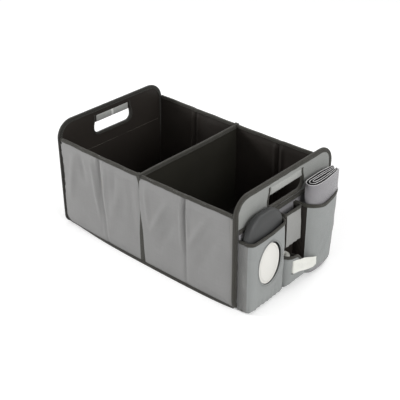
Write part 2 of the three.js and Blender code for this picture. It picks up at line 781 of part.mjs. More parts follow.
function lid() {
  const plate = alongX(lidOval(-LID_GAP), lidX - LID_THICKNESS, lidX, OVAL_STEPS);
  const y0 = caseY - HINGE_WIDTH / 2;
  const arm = box(lidX - LID_THICKNESS, lidX, y0, y0 + HINGE_WIDTH, hingeZ - 3 * HINGE_RADIUS, hingeZ);
  return plate.add(arm).add(hingeBar(HINGE_RADIUS, HINGE_WIDTH)).subtract(hingeBar(HINGE_PIN + SEAM, WIDTH));
}

function wipesStack() {
  const x0 = contentX + CASE_WALL + SEAM;
  const z0 = caseBottom + CASE_EDGE + SEAM;
  const half = WIPES_WIDTH / 2;
  const outline = rounded(caseY - half, z0, caseY + half, z0 + WIPES_HEIGHT, CASE_FOOT / 2);
  return alongX(outline, x0, x0 + WIPES_THICKNESS, SMALL_ARC_STEPS);
}

place("wipes_case_back", caseHalf(contentX - CUT, caseMidX - SEAM / 2), materials.charcoal);
place("wipes_case_front", caseFront(), materials.charcoal);
place("wipes_lid_frame", lidFrame(), materials.white);
place("wipes_lid", lid(), materials.white);
place("wipes_lid_pin", hingeBar(HINGE_PIN, HINGE_WIDTH + 2 * HINGE_EAR - 2 * SEAM), materials.white);
place("wipes_stack", wipesStack(), materials.wipes);

// Changing mat, folded to and fro into flat layers that stand on edge in the last pocket.

// A strip along a path that doesn't close, as thick at each point as thickness says.
function strip(path, thickness) {
  const side = (sign) =>
    path.map((point, index) => {
      const before = new THREE.Vector2().subVectors(point, path[Math.max(index - 1, 0)]);
      const after = new THREE.Vector2().subVectors(path[Math.min(index + 1, path.length - 1)], point);
      if (index === 0) before.copy(after);
      if (index === path.length - 1) after.copy(before);
      before.normalize();
      after.normalize();
      const normal = new THREE.Vector2(before.y + after.y, -before.x - after.x);
      return point.clone().addScaledVector(normal, (sign * thickness(point)) / 2 / (1 + before.dot(after)));
    });
  return new THREE.Shape([...side(1), ...side(-1).reverse()]);
}

const matRoom = POCKET_CLOTH + ROOM + SEAM; // it passes inside the binding of the rim

// The layers are thick and loose at the near end and pressed together at the far one.
function changingMat() {
  const near = middleBack + matRoom + MAT_LAYER;
  const far = rowBack - MAT_FAR_GAP - MAT_LAYER * MAT_PINCH;
  const nearX = contentX + MAT_EASE + matPitch / 2;
  const farX = pocketX + MAT_FAR_DEPTH;
  const path = new THREE.Path().moveTo(farX, far);
  for (let layer = 0; layer < MAT_LAYERS; layer++) {
    const towardsNear = layer % 2 === 0;
    const pitch = towardsNear ? matPitch : matPitch * MAT_PINCH;
    const x = (towardsNear ? nearX : farX) + layer * pitch;
    const end = towardsNear ? near : far;
    path.lineTo(x, end);
    if (layer < MAT_LAYERS - 1)
      path.absarc(x + pitch / 2, end, pitch / 2, Math.PI, towardsNear ? 2 * Math.PI : 0, !towardsNear);
  }
  const thickness = ({ y }) => MAT_LAYER * THREE.MathUtils.mapLinear(y, near, far, 1, MAT_PINCH);
  const inPocket = bag(matPlan, matFace, ROW_BOTTOM, MAT_TOP, POCKET_CLOTH + SEAM);
  const room = alongZ(hollow(matPlan, matRoom), ROW_BOTTOM, MAT_TOP);
  return alongZ(strip(planPoints(path), thickness), ROW_BOTTOM, MAT_TOP).intersect(inPocket).intersect(room);
}

// Roll of bags on end, with the first bag pulled out through the slit and laid along the pockets.

const rollCentreX = rollX - POCKET_TOE - ROLL_RADIUS; // behind the rounded toe of its pocket
const rollZ = ROW_BOTTOM + POCKET_CLOTH + SEAM;
const bagEnd = middleBack + BAG_REACH;

function bagRoll() {
  const upright = (radius, height) => {
    const cylinder = new THREE.CylinderGeometry(radius, radius, height, ROLL_SIDES);
    return solid(cylinder.rotateX(Math.PI / 2).translate(rollCentreX, rollY, rollZ + ROLL_HEIGHT / 2));
  };
  return upright(ROLL_RADIUS, ROLL_HEIGHT).subtract(upright(ROLL_CORE, ROLL_HEIGHT + 2 * CUT));
}

// The bag's film runs off the roll, out through the slit, across the roll pocket and on to the next.
function pulledBag() {
  const lie = BAG_FILM / 2 + 2 * SEAM;
  const start = rollCentreX + ROLL_RADIUS + SEAM + BAG_FILM / 2;
  const path = [
    [start, rollY],
    [start + SEAM, slitY - SLIT / 2],
    [rollX - POCKET_CLOTH - SLIT / 2, slitY],
    [rollX + lie, slitY],
    [rollX + lie, rollBack - PLEAT_CORNER],
  ].map(([x, y]) => new THREE.Vector2(x, y));
  const onMatPocket = offset(matPlan, lie).filter(({ x, y }) => x > rollX + 2 * lie && y < bagEnd);
  path.push(...onMatPocket, new THREE.Vector2(matX + lie, bagEnd));
  const cut = polygon([
    [rollY - CUT, BAG_LOW],
    [slitY, BAG_LOW],
    [bagEnd + CUT, BAG_END_LOW],
    [bagEnd + CUT, BAG_END_HIGH],
    [slitY, BAG_HIGH],
    [rollY - CUT, BAG_HIGH],
  ]);
  const film = alongZ(strip(path, () => BAG_FILM), BAG_END_LOW, BAG_HIGH);
  return film.intersect(alongX(cut, rowX, matX + WIDTH));
}

place("changing_mat", changingMat(), materials.cloth);
place("bag_roll", bagRoll(), materials.film);
place("pulled_bag", pulledBag(), materials.film);

export default organizer;
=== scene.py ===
import math

import bpy
import numpy as np
from mathutils import Matrix, Vector, noise


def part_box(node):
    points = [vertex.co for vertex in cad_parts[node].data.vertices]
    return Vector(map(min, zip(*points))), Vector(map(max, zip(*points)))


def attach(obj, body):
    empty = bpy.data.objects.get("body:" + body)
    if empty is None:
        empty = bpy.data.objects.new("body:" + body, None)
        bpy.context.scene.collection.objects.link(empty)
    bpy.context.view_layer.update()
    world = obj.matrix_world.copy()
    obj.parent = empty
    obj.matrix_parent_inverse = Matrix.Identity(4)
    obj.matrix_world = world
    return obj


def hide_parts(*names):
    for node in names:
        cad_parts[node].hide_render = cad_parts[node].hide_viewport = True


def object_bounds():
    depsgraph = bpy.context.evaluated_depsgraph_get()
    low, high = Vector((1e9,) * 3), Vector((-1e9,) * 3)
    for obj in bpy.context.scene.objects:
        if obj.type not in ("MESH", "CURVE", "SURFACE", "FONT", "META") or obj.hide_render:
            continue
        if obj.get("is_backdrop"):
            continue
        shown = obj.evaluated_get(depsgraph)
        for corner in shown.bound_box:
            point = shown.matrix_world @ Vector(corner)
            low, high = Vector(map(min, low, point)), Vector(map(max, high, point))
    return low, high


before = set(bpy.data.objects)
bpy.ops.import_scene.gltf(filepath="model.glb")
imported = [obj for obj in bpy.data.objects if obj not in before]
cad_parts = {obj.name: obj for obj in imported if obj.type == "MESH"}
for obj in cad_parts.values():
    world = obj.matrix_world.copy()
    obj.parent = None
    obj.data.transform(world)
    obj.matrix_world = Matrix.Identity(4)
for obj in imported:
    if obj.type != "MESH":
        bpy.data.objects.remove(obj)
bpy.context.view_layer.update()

# The camera. It looks down at the near corner of the box, from in front of the right-hand
# end, through a fairly long lens.
camera = bpy.data.objects.new("camera", bpy.data.cameras.new("camera"))
bpy.context.scene.collection.objects.link(camera)
camera.data.sensor_width = 36
camera.data.lens = 77.373
camera_place = (1.25203567, -1.37219631, 1.20948825)
camera_axes = ((0.7485543, 0.66305495, -0.00495918), (-0.33649885, 0.38631276, 0.85879624),
               (0.57134488, -0.64118686, 0.5122933))
camera.matrix_world = Matrix.Translation(camera_place) @ Matrix(camera_axes).transposed().to_4x4()
bpy.context.scene.camera = camera
bpy.context.scene.view_settings.view_transform = "Standard"

# The studio: a soft lamp in front on the left, weaker ones on the right and behind, and a white
# room with a floor of white paper that keeps the box's shadow. Each lamp has its place, watts
# and width.
lamps = {
    "key_lamp": ((-2.5, -1.7, 1.7), 66, 0.9),
    "side_lamp": ((2.7, -0.7, 1.5), 44, 1.3),
    "back_lamp": ((0.5, 1.9, 2.6), 26, 1.5),
}
lamp_target = Vector((0, 0, 0.1))
for name, (place, power, size) in lamps.items():
    lamp = bpy.data.objects.new(name, bpy.data.lights.new(name, "AREA"))
    bpy.context.scene.collection.objects.link(lamp)
    lamp.data.energy = power
    lamp.data.size = size
    lamp.location = place
    lamp.rotation_euler = (lamp_target - lamp.location).to_track_quat("-Z", "Y").to_euler()


def add_node(tree, kind, values=None, **settings):
    """A node with its settings, and with its sockets linked or set."""
    made = tree.nodes.new(kind)
    for key, value in settings.items():
        setattr(made, key, value)
    for key, value in (values or {}).items():
        if isinstance(value, bpy.types.NodeSocket):
            tree.links.new(value, made.inputs[key])
        else:
            made.inputs[key].default_value = value
    return made


def new_material(name, colour):
    """A material with an empty node tree, that tree, and its output node."""
    material = bpy.data.materials.new(name)
    material.diffuse_color = (*colour, 1)
    material.use_nodes = True
    tree = material.node_tree
    tree.nodes.clear()
    return material, tree, add_node(tree, "ShaderNodeOutputMaterial")


def math_node(tree, operation, first, second=0.0, third=0.0):
    made = add_node(tree, "ShaderNodeMath", {0: first, 1: second, 2: third}, operation=operation)
    return made.outputs[0]


def scaled(tree, value, factor, start):
    return math_node(tree, "MULTIPLY_ADD", value, factor, start)


def seen_directly(tree):
    """1 for rays from the camera, a mirror or through glass, and 0 for light."""
    path = add_node(tree, "ShaderNodeLightPath").outputs
    mirror = math_node(tree, "MAXIMUM", path["Is Glossy Ray"], path["Is Transmission Ray"])
    return math_node(tree, "MAXIMUM", path["Is Camera Ray"], mirror)


room_light = 0.44
floor_glow = 0.285
world = bpy.data.worlds.new("room")
bpy.context.scene.world = world
world.use_nodes = True
world.node_tree.nodes.clear()
tree = world.node_tree
strength = scaled(tree, seen_directly(tree), 1 - room_light, room_light)
background = add_node(tree, "ShaderNodeBackground", {"Color": (1, 1, 1, 1), "Strength": strength})
add_node(tree, "ShaderNodeOutputWorld", {"Surface": background.outputs[0]})

paper, tree, output = new_material("white_paper", (0.8, 0.8, 0.8))
grain = add_node(tree, "ShaderNodeTexNoise", {"Scale": 60.0, "Detail": 3.0})
tint = scaled(tree, grain.outputs[0], 0.02, 0.84)
shade = add_node(tree, "ShaderNodeCombineColor", {0: tint, 1: tint, 2: tint})
matt = add_node(tree, "ShaderNodeBsdfDiffuse", {"Color": shade.outputs[0]})
shine = math_node(tree, "MULTIPLY", seen_directly(tree), floor_glow)
glow = add_node(tree, "ShaderNodeEmission", {"Color": (1, 1, 1, 1), "Strength": shine})
both = add_node(tree, "ShaderNodeAddShader", {0: matt.outputs[0], 1: glow.outputs[0]})
tree.links.new(both.outputs[0], output.inputs["Surface"])


def add_form(name, operator, **settings):
    """A primitive at its size and place, as the one selected piece."""
    bpy.ops.object.select_all(action="DESELECT")
    operator(**settings)
    form = bpy.context.object
    form.name = form.data.name = name
    return form


floor = add_form("floor", bpy.ops.mesh.primitive_circle_add, vertices=96, radius=9,
                 fill_type="NGON", location=(0, 0, -0.0004))
floor.data.materials.append(paper)
floor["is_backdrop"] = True

# The side walls' outer cloth: one strip of grey polyester canvas along each side, sewn down at
# both ends, bound along the top and held by the hem of the base. It swells a little over each
# stiffening board, is pinched at the two folds, and drags in soft slanting creases.
walls = ((-1, "front"), (1, "back"))
half_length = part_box("front_wall_cover")[1].x
merge_distance = 0.00002
wall_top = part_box("front_wall_binding")[1].z
board_pitch = 0.14
fold_places = (-board_pitch, board_pitch)
fold_slants = (0.08, 0.01)
canvas_face, canvas_thick = 0.174, 0.0012


def noise_node(tree, place, scale, detail):
    values = {"Vector": place, "Scale": scale, "Detail": detail}
    return add_node(tree, "ShaderNodeTexNoise", values).outputs[0]


def shade_node(tree, colour, value):
    """A colour, made lighter or darker by a value."""
    return add_node(tree, "ShaderNodeHueSaturation", {"Color": colour, "Value": value}).outputs[0]


def woven_group():
    """Plain weave on flat coordinates in metres: crossing threads, some of them thicker slubs, and
    a cloudy unevenness give its colour, roughness and height."""
    group = bpy.data.node_groups.new("plain_weave", "ShaderNodeTree")
    number, colour = "NodeSocketFloat", "NodeSocketColor"
    for label, kind in (("Vector", "NodeSocketVector"), ("Colour", colour), ("Threads", number),
                        ("Contrast", number), ("Cloud", number), ("Rough", number)):
        group.interface.new_socket(name=label, in_out="INPUT", socket_type=kind)
    for label, kind in (("Colour", colour), ("Roughness", number), ("Height", number)):
        group.interface.new_socket(name=label, in_out="OUTPUT", socket_type=kind)
    given = add_node(group, "NodeGroupInput").outputs
    place = given["Vector"]
    threads = add_node(group, "ShaderNodeVectorMath", {0: place, "Scale": given["Threads"]},
                       operation="SCALE")
    axes = add_node(group, "ShaderNodeSeparateXYZ", {0: threads.outputs[0]}).outputs
    waves = [math_node(group, "SINE", math_node(group, "MULTIPLY", axes[k], math.pi)) for k in (0, 1)]
    crossing = math_node(group, "MULTIPLY", waves[0], waves[1])
    height = math_node(group, "ABSOLUTE", crossing)
    slubs = []
    for stretch in ((900, 22, 1), (22, 900, 1)):
        drawn = add_node(group, "ShaderNodeMapping", {"Vector": place, "Scale": stretch})
        slubs.append(noise_node(group, drawn.outputs[0], 1.0, 2.0))
    slub = math_node(group, "ADD", slubs[0], slubs[1])
    cloud = math_node(group, "ADD", noise_node(group, place, 13.0, 4.0), -0.5)
    thread_shade = scaled(group, slub, 1.6, scaled(group, crossing, 0.3, height))
    thread_shade = math_node(group, "ADD", thread_shade, -2.0)
    value = scaled(group, thread_shade, given["Contrast"], 1.0)
    value = scaled(group, cloud, given["Cloud"], value)
    add_node(group, "NodeGroupOutput", {
        "Colour": shade_node(group, given["Colour"], value),
        "Roughness": scaled(group, height, -0.12, given["Rough"]),
        "Height": scaled(group, slub, 0.35, height),
    })
    return group


plain_weave = woven_group()


def surface(name, colour, coordinates, pattern, strength, depth, shine):
    """A material with a pattern on a piece's own coordinates: its colour, roughness and height."""
    material, tree, output = new_material(name, colour)
    place = add_node(tree, "ShaderNodeTexCoord").outputs[coordinates]
    shade, rough, height = pattern(tree, place)
    bump = add_node(tree, "ShaderNodeBump", {"Strength": strength, "Distance": depth, "Height": height})
    values = {"Base Color": shade, "Roughness": rough, "Normal": bump.outputs[0], **shine}
    body = add_node(tree, "ShaderNodeBsdfPrincipled", values)
    tree.links.new(body.outputs[0], output.inputs["Surface"])
    return material


def woven_material(name, colour, threads=1900, contrast=0.09, cloud=0.22, rough=0.82,
                   depth=0.00012, sheen=0.08, coordinates="UV"):
    """A woven cloth, with this many threads to the metre."""
    def pattern(tree, place):
        values = {"Vector": place, "Colour": (*colour, 1), "Threads": threads,
                  "Contrast": contrast, "Cloud": cloud, "Rough": rough}
        weave = add_node(tree, "ShaderNodeGroup", values, node_tree=plain_weave).outputs
        return weave["Colour"], weave["Roughness"], weave["Height"]

    shine = {"Sheen Weight": sheen, "Sheen Roughness": 0.45, "Specular IOR Level": 0.3}
    return surface(name, colour, coordinates, pattern, 0.5, depth, shine)


grey_canvas = woven_material("grey_canvas", (0.262, 0.26, 0.257))


def only(piece):
    """Leaves this piece alone selected, and active."""
    bpy.ops.object.select_all(action="DESELECT")
    piece.select_set(True)
    bpy.context.view_layer.objects.active = piece


def points_of(piece):
    flat = np.empty(len(piece.data.vertices) * 3)
    piece.data.vertices.foreach_get("co", flat)
    return flat.reshape(-1, 3)


def set_points(piece, points):
    piece.data.vertices.foreach_set("co", np.asarray(points, float).ravel())
    piece.data.update()


def apply_modifier(piece, kind, **settings):
    only(piece)
    modifier = piece.modifiers.new(kind.lower(), kind)
    for key, value in settings.items():
        setattr(modifier, key, value)
    bpy.ops.object.modifier_apply(modifier=modifier.name)


def edit(piece, *steps):
    """Runs mesh operators on all of a piece: each step is an operator and its settings."""
    only(piece)
    bpy.ops.object.mode_set(mode="EDIT")
    for operator, settings in steps:
        bpy.ops.mesh.select_all(action="SELECT")
        operator(**settings)
    bpy.ops.object.mode_set(mode="OBJECT")


def sheet_of(name, columns, rows, where, size=(1, 1), thickness=0.0, offset=-1.0, closed=False,
             keep=None):
    """A sheet from a flat grid: where(s, t) lays its points, and s x t is its outer side.
    size is the sheet's own width and length, so that its weave has its true scale."""
    piece = add_form(name, bpy.ops.mesh.primitive_grid_add, x_subdivisions=columns,
                     y_subdivisions=rows, size=1)
    shares = points_of(piece)[:, :2] + 0.5
    if keep is not None:
        bpy.ops.object.mode_set(mode="EDIT")
        bpy.ops.mesh.select_mode(type="FACE")
        bpy.ops.mesh.select_all(action="DESELECT")
        bpy.ops.object.mode_set(mode="OBJECT")
        for face in piece.data.polygons:
            face.select = not keep(*np.mean([shares[v] for v in face.vertices], axis=0))
        bpy.ops.object.mode_set(mode="EDIT")
        bpy.ops.mesh.delete(type="FACE")
        bpy.ops.object.mode_set(mode="OBJECT")
        shares = points_of(piece)[:, :2] + 0.5
    set_points(piece, where(shares[:, 0], shares[:, 1]))
    layer = piece.data.uv_layers[0].data
    flat = np.empty(len(layer) * 2)
    layer.foreach_get("uv", flat)
    layer.foreach_set("uv", (flat.reshape(-1, 2) * np.array(size)).ravel())
    if closed:
        edit(piece, (bpy.ops.mesh.remove_doubles, {"threshold": merge_distance}))
    if thickness:
        apply_modifier(piece, "SOLIDIFY", thickness=thickness, offset=offset)
    return piece


def settle(points):
    """The empty box stands a little out of true: the back edge of its left end leans in, the feet
    of the walls are drawn in round the end panels' lower corners, and the back stands further out."""
    lean_in, back_out, corner_radius, half_width, inside_ends = 0.0075, 0.0045, 0.024, 0.178, 0.2791
    x, y, z = points.T.copy()
    upright = 0.45 + 0.55 * ease(z, 0.0, 0.13)
    lean = lean_in * np.clip((y + half_width) / (2 * half_width), 0, 1) * ease(-x, 0.09, 0.28) * upright
    low = np.clip(corner_radius - z, 0, corner_radius)
    inset = corner_radius - np.sqrt(corner_radius**2 - low**2)
    pull = 0.85 * np.exp(-(x + 0.28) / 0.075) + 0.3 * np.exp(-(0.28 - x) / 0.05)
    pull = np.where(np.abs(x) < inside_ends, pull, 0)
    y = y - np.sign(y) * inset * pull * ease(np.abs(y), 0.1, 0.168)
    return np.c_[x + lean, y + back_out * ease(y, -0.05, half_width), z]


def dress(piece, material, slot, *nodes, body="organizer", angle=40):
    """Gives a finished piece its material, and its place among the model's nodes."""
    only(piece)
    set_points(piece, settle(points_of(piece)))
    bpy.ops.object.shade_smooth_by_angle(angle=math.radians(angle))
    for used in material if isinstance(material, list) else [material]:
        piece.data.materials.append(used)
    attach(piece, body)
    if nodes:
        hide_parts(*nodes)


def ripple(points, scale, seed):
    """Smooth noise, about -0.5 to 0.5, at each point."""
    shift = Vector((seed * 7.3, seed * 3.1, seed * 5.7))
    return np.array([noise.noise(Vector(p) * scale + shift) for p in points])


def near(value, middle, width):
    """1 at the middle, fading softly to 0 over the width."""
    return np.exp(-(((value - middle) / width) ** 2))


def ease(value, low, high):
    """0 below low, 1 above high, and smooth between."""
    share = np.clip((value - low) / (high - low), 0, 1)
    return share * share * (3 - 2 * share)


def between(value, low, low_full, high_full, high):
    """1 from low_full to high_full, fading smoothly to 0 at low and high."""
    return ease(value, low, low_full) * ease(-value, -high, -high_full)


def wall_bow(side, x, z):
    """How far a side wall stands outside its straight line. The front is pushed out along its
    middle, the back sinks in at the top and flares at its left end."""
    front_out, back_in, back_flare = 0.0042, 0.0025, 0.006
    middle = 1 - (x / half_length) ** 2
    height = np.clip(z / wall_top, 0, 1.02)
    if side < 0:
        return front_out * middle * (0.5 + 0.5 * height)
    return back_flare * ease(-x, -0.1, 0.28) * height**2 - back_in * middle * height


def drag_fold(x, z, start, end, width, height):
    """A soft ridge in the cloth from one point of the wall to another."""
    run = np.array(end) - np.array(start)
    reach = np.hypot(*run)
    along = ((x - start[0]) * run[0] + (z - start[1]) * run[1]) / reach**2
    off = ((x - start[0]) * run[1] - (z - start[1]) * run[0]) / reach
    fade = np.sin(np.pi * np.clip(along, 0, 1)) ** 0.8
    return height * fade * near(off, 0, width)


# The creases of each wall: where one starts and ends, its width, and its height outwards.
wall_folds = {
    -1: (((0.094, 0.218), (0.03, 0.1), 0.01, 0.005), ((0.12, 0.19), (0.05, 0.06), 0.014, -0.004),
         ((0.216, 0.226), (0.15, 0.112), 0.01, 0.0048), ((0.242, 0.195), (0.17, 0.045), 0.016, -0.0036),
         ((-0.118, 0.244), (-0.12, 0.09), 0.008, 0.004), ((-0.165, 0.246), (-0.14, 0.05), 0.008, 0.0046),
         ((0.13, 0.246), (0.131, 0.09), 0.006, 0.0036), ((-0.06, 0.215), (-0.11, 0.06), 0.016, 0.0034),
         ((-0.222, 0.24), (-0.255, 0.08), 0.012, 0.0044), ((-0.03, 0.225), (-0.02, 0.07), 0.012, -0.003),
         ((0.022, 0.246), (0.028, 0.12), 0.008, 0.0034), ((0.15, 0.246), (0.152, 0.13), 0.006, 0.004),
         ((-0.205, 0.246), (-0.19, 0.15), 0.009, -0.0036), ((-0.082, 0.24), (-0.09, 0.13), 0.01, -0.0028)),
    1: (((0.2, 0.215), (0.16, 0.1), 0.012, 0.0016), ((-0.09, 0.22), (-0.04, 0.09), 0.014, 0.0016),
        ((-0.22, 0.21), (-0.18, 0.06), 0.016, 0.0014), ((0.06, 0.215), (0.09, 0.07), 0.014, -0.0014)),
}


def cover_relief(side, x, z):
    """The outer cloth's own relief, outwards: swells, pinched folds, slanting creases, puckers."""
    swell_height, pinch_depth = (0.0042, 0.0048) if side < 0 else (0.0014, 0.0006)
    held = between(z, 0.006, 0.035, 0.222, 0.246)
    quarter = ((x + 2 * board_pitch) / board_pitch) % 1
    swell = swell_height * (4 * quarter * (1 - quarter)) ** 0.6
    creases = sum(drag_fold(x, z, *fold) for fold in wall_folds[side])
    relief = held * (swell + np.maximum(creases, -swell * 0.9))
    for place, slant in zip(fold_places, fold_slants):
        pinch = pinch_depth * (0.35 + 0.65 * np.clip(z / wall_top, 0, 1) ** 1.2)
        relief = relief - pinch * near(x, place + slant * (0.24 - z), 0.0052)
        pucker = np.sin((x - place) * 520) * near(z, 0.236, 0.012) * near(x, place, 0.03)
        relief = relief + 0.00055 * pucker * (np.abs(x - place) > 0.004)
    relief = relief + 0.0005 * np.sin(x * 300) * near(z, 0.238, 0.01) * near(x, 0, 0.03)
    return relief


def wall_sheet(name, side, face, depth, relief, node, thickness, columns, rows):
    """A layer of a side wall. depth is where its shown side lies, and face is 1 outwards."""
    forward = -side * face
    low, high = (corner.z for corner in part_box(node))

    def where(s, t):
        x = forward * (2 * s - 1) * half_length
        z = low + (high - low) * t
        y = side * (depth + wall_bow(side, x, z) + relief(side, x, z))
        return np.c_[x, y, z]

    return sheet_of(name, columns, rows, where, (2 * half_length, high - low), thickness)


for side, word in walls:
    cover = wall_sheet(word + "_wall_canvas", side, 1, canvas_face, cover_relief,
                       word + "_wall_cover", canvas_thick, 280, 84)
    points = points_of(cover)
    held = between(points[:, 2], 0.01, 0.03, 0.23, 0.245)
    uneven = 0.0026 if side < 0 else 0.0012
    points[:, 1] += uneven * ripple(points * np.array([1, 1, 0.6]), 17, 3 + side) * held
    set_points(cover, points)
    dress(cover, grey_canvas, "grey_cloth", word + "_wall_cover")

# The walls' stiffening: four fibre boards in each side wall, with a gap between them where the
# wall folds flat. They are loose between the two cloths, and bow with the wall.
fibre_board = woven_material("fibre_board", (0.22, 0.2, 0.165), threads=300, contrast=0.05,
                             depth=0.0001, sheen=0.0)
for side, word in walls:
    for number in range(1, 5):
        node = f"{word}_wall_board_{number}"
        low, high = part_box(node)

        def board_point(s, t):
            x = low.x + (high.x - low.x) * (s if side < 0 else 1 - s)
            z = low.z + (high.z - low.z) * t
            outer = max(abs(low.y), abs(high.y))
            return np.c_[x, side * (outer + wall_bow(side, x, z)), z]

        board = sheet_of(node + "_fibre", 12, 12, board_point,
                         (high.x - low.x, high.z - low.z), high.y - low.y)
        apply_modifier(board, "BEVEL", width=0.0008, segments=2, limit_method="ANGLE")
        dress(board, fibre_board, "stiffener_board", node)

# The walls' lining: thin black polyester, sewn to the outer cloth along the folds, which draws
# it out into a groove there.
# This black cloth is also laid where there is only shade, as painted shade: in the gap under the small
# pocket and on the near sides of the small and mat pockets.
black_lining = woven_material("black_lining", (0.015, 0.0116, 0.009), contrast=0.12, cloud=0.5,
                              sheen=0.03, rough=0.66)
lining_face, lining_thick = 0.1682, 0.001


def lining_relief(side, x, z):
    """The lining's own relief, outwards: grooves at the folds, and slack between them."""
    quarter = ((x + 2 * board_pitch) / board_pitch) % 1
    held = between(z, 0.01, 0.04, 0.226, 0.246)
    relief = -0.0024 * held * (4 * quarter * (1 - quarter)) ** 0.8
    deep = 0.0003 if side < 0 else 0.0023
    for place in fold_places:
        relief = relief + deep * near(x, place, 0.0034)
        relief = relief - 0.0042 * held * near(np.abs(x - place), 0.01, 0.005)
    return relief


for side, word in walls:
    lining = wall_sheet(word + "_wall_inner_cloth", side, -1, lining_face, lining_relief,
                        word + "_wall_lining", lining_thick, 140, 40)
    points = points_of(lining)
    held = between(points[:, 2], 0.02, 0.06, 0.22, 0.245)
    points[:, 1] += 0.0022 * ripple(points, 14, 8 + side) * held
    set_points(lining, points)
    dress(lining, black_lining, "black_lining", word + "_wall_lining")

# The walls' top bindings: ribbed dark tape folded over the raw edges and sewn through with one
# row of stitches. The same tape is used on every edge of the box and of its pockets.
tape_thick = 0.001
binding_reach, wall_reach = 0.01, 0.0075
stitch_wide, stitch_tall = 0.00042, 0.00034


def ribbed_material(name, colour, pitch=0.0016):
    """A ribbed tape: cords run along it, crossed by fine weft, and its tone is uneven."""
    weft = 0.0009

    def pattern(tree, place):
        axes = add_node(tree, "ShaderNodeSeparateXYZ", {0: place}).outputs
        across, along = (
            math_node(tree, "SINE", math_node(tree, "MULTIPLY", axes[axis], 2 * math.pi / size))
            for axis, size in ((1, pitch), (0, weft))
        )
        height = scaled(tree, along, 0.35, across)
        value = scaled(tree, height, 0.12, 0.7)
        value = scaled(tree, noise_node(tree, place, 45.0, 5.0), 0.6, value)
        return shade_node(tree, (*colour, 1), value), 0.72, height

    shine = {"Sheen Weight": 0.1, "Sheen Roughness": 0.4, "Specular IOR Level": 0.35}
    return surface(name, colour, "UV", pattern, 0.8, 0.0003, shine)


dark_tape = ribbed_material("dark_tape", (0.034, 0.032, 0.0255))
# A darker copy of the same tape, as painted shade, for the tape on the shaded left end and on the corner
# strips.
painted_shade_tape = ribbed_material("painted_shade_tape", (0.016, 0.015, 0.012))
dark_thread = ribbed_material("dark_thread", (0.075, 0.07, 0.058), pitch=0.0004)

stitch_form = add_form("stitch", bpy.ops.mesh.primitive_uv_sphere_add, segments=6, ring_count=4,
                       radius=1)
stitch_points = points_of(stitch_form)[:, [2, 0, 1]]
stitch_faces = [list(face.vertices) for face in stitch_form.data.polygons]
bpy.data.objects.remove(stitch_form)


def run_of(points):
    """How far along a line each of its points lies."""
    return np.concatenate([[0], np.cumsum(np.sqrt((np.diff(points, axis=0) ** 2).sum(1)))])


def along_line(place, run, values):
    """A line's values at places along its run."""
    return np.stack([np.interp(place, run, column) for column in np.asarray(values).T], 1)


def unit(ways):
    return ways / np.linalg.norm(ways, axis=1)[:, None]


def stitches(name, lines, pitch=0.0044, material=dark_thread):
    """Rows of stitches. Each line is its points and the way that they face."""
    size = np.array([pitch * 0.37, stitch_wide, stitch_tall])
    corners, faces = [], []
    for points, facing in lines:
        points = np.asarray(points, float)
        run = run_of(points)
        at = np.arange(pitch / 2, run[-1], pitch)
        tangent = unit(along_line(at + 0.0005, run, points) - along_line(at - 0.0005, run, points))
        normal = along_line(at, run, np.broadcast_to(np.asarray(facing, float), points.shape))
        normal = unit(normal - (normal * tangent).sum(1)[:, None] * tangent)
        middles, sideways = along_line(at, run, points), np.cross(normal, tangent)
        for middle, *turn in zip(middles, tangent, sideways, normal):
            start = len(corners) * len(stitch_points)
            corners.append(middle + (stitch_points * size) @ np.array(turn))
            faces += [[start + v for v in face] for face in stitch_faces]
    mesh = bpy.data.meshes.new(name)
    mesh.from_pydata(np.concatenate(corners).tolist(), [], faces)
    mesh.uv_layers.new(name="UVMap")
    piece = bpy.data.objects.new(name, mesh)
    bpy.context.scene.collection.objects.link(piece)
    dress(piece, material, "binding_tape", angle=80)


def bind_edge(name, path, inward, across, half, nodes, reach=binding_reach, round_over=0.0022,
              closed=False, material=dark_tape, slot="binding_tape", step=0.004, wave=0.0003):
    """Tape folded over an edge. path follows the edge, inward points into the cloth, across
    goes through it, and half is from the cloth's middle to the outside of the tape."""
    path = np.asarray(path, float)
    inward = np.broadcast_to(np.asarray(inward, float), path.shape)
    across = np.broadcast_to(np.asarray(across, float), path.shape)
    run = run_of(path)
    middle = half - tape_thick / 2
    profile = [(-middle + 0.0002, reach), (-middle, reach * 0.75), (-middle, reach * 0.45)]
    for bent in np.radians(np.linspace(-90, 90, 9)):
        profile.append((middle * math.sin(bent),
                        tape_thick / 2 + round_over * (1 - math.cos(bent))))
    profile += [(-a, b) for a, b in profile[2::-1]]
    profile_run = run_of(profile)

    def where(s, t):
        a, b = along_line(profile_run[-1] * t, profile_run, profile).T
        base, down, through = (along_line(s, run / run[-1], line) for line in (path, inward, across))
        uneven = ripple(base, 55, len(name)) * wave
        deeper = uneven * 2.2 * (b > reach * 0.4)
        return base + through * (a + uneven * np.sign(a) * 0.6)[:, None] + down * (b + deeper)[:, None]

    columns = max(8, int(run[-1] / step))
    piece = sheet_of(name, columns, 18, where, (run[-1], profile_run[-1]), tape_thick, 0.0, closed)
    edit(piece, (bpy.ops.mesh.normals_make_consistent, {"inside": False}))
    dress(piece, material, slot, *nodes, angle=50)
    lines = [(path + inward * reach * 0.76 + across * way * (half + 0.0001), across * way)
             for way in (1, -1)]
    stitches(name + "_stitches", lines)


for side, word in walls:
    x = np.linspace(-half_length, half_length, 120)
    dip = sum(near(x, place, 0.006) for place in fold_places)
    z = wall_top - 0.0012 * dip - 0.0006 * np.sin(x * 40) ** 2
    y = side * (0.1711 + wall_bow(side, x, z) - 0.0004 * dip)
    bind_edge(word + "_wall_top_tape", np.c_[x, y, z], (0, 0, -1), (0, side, 0), 0.0042,
              [word + "_wall_binding"], reach=wall_reach, wave=0.0004)

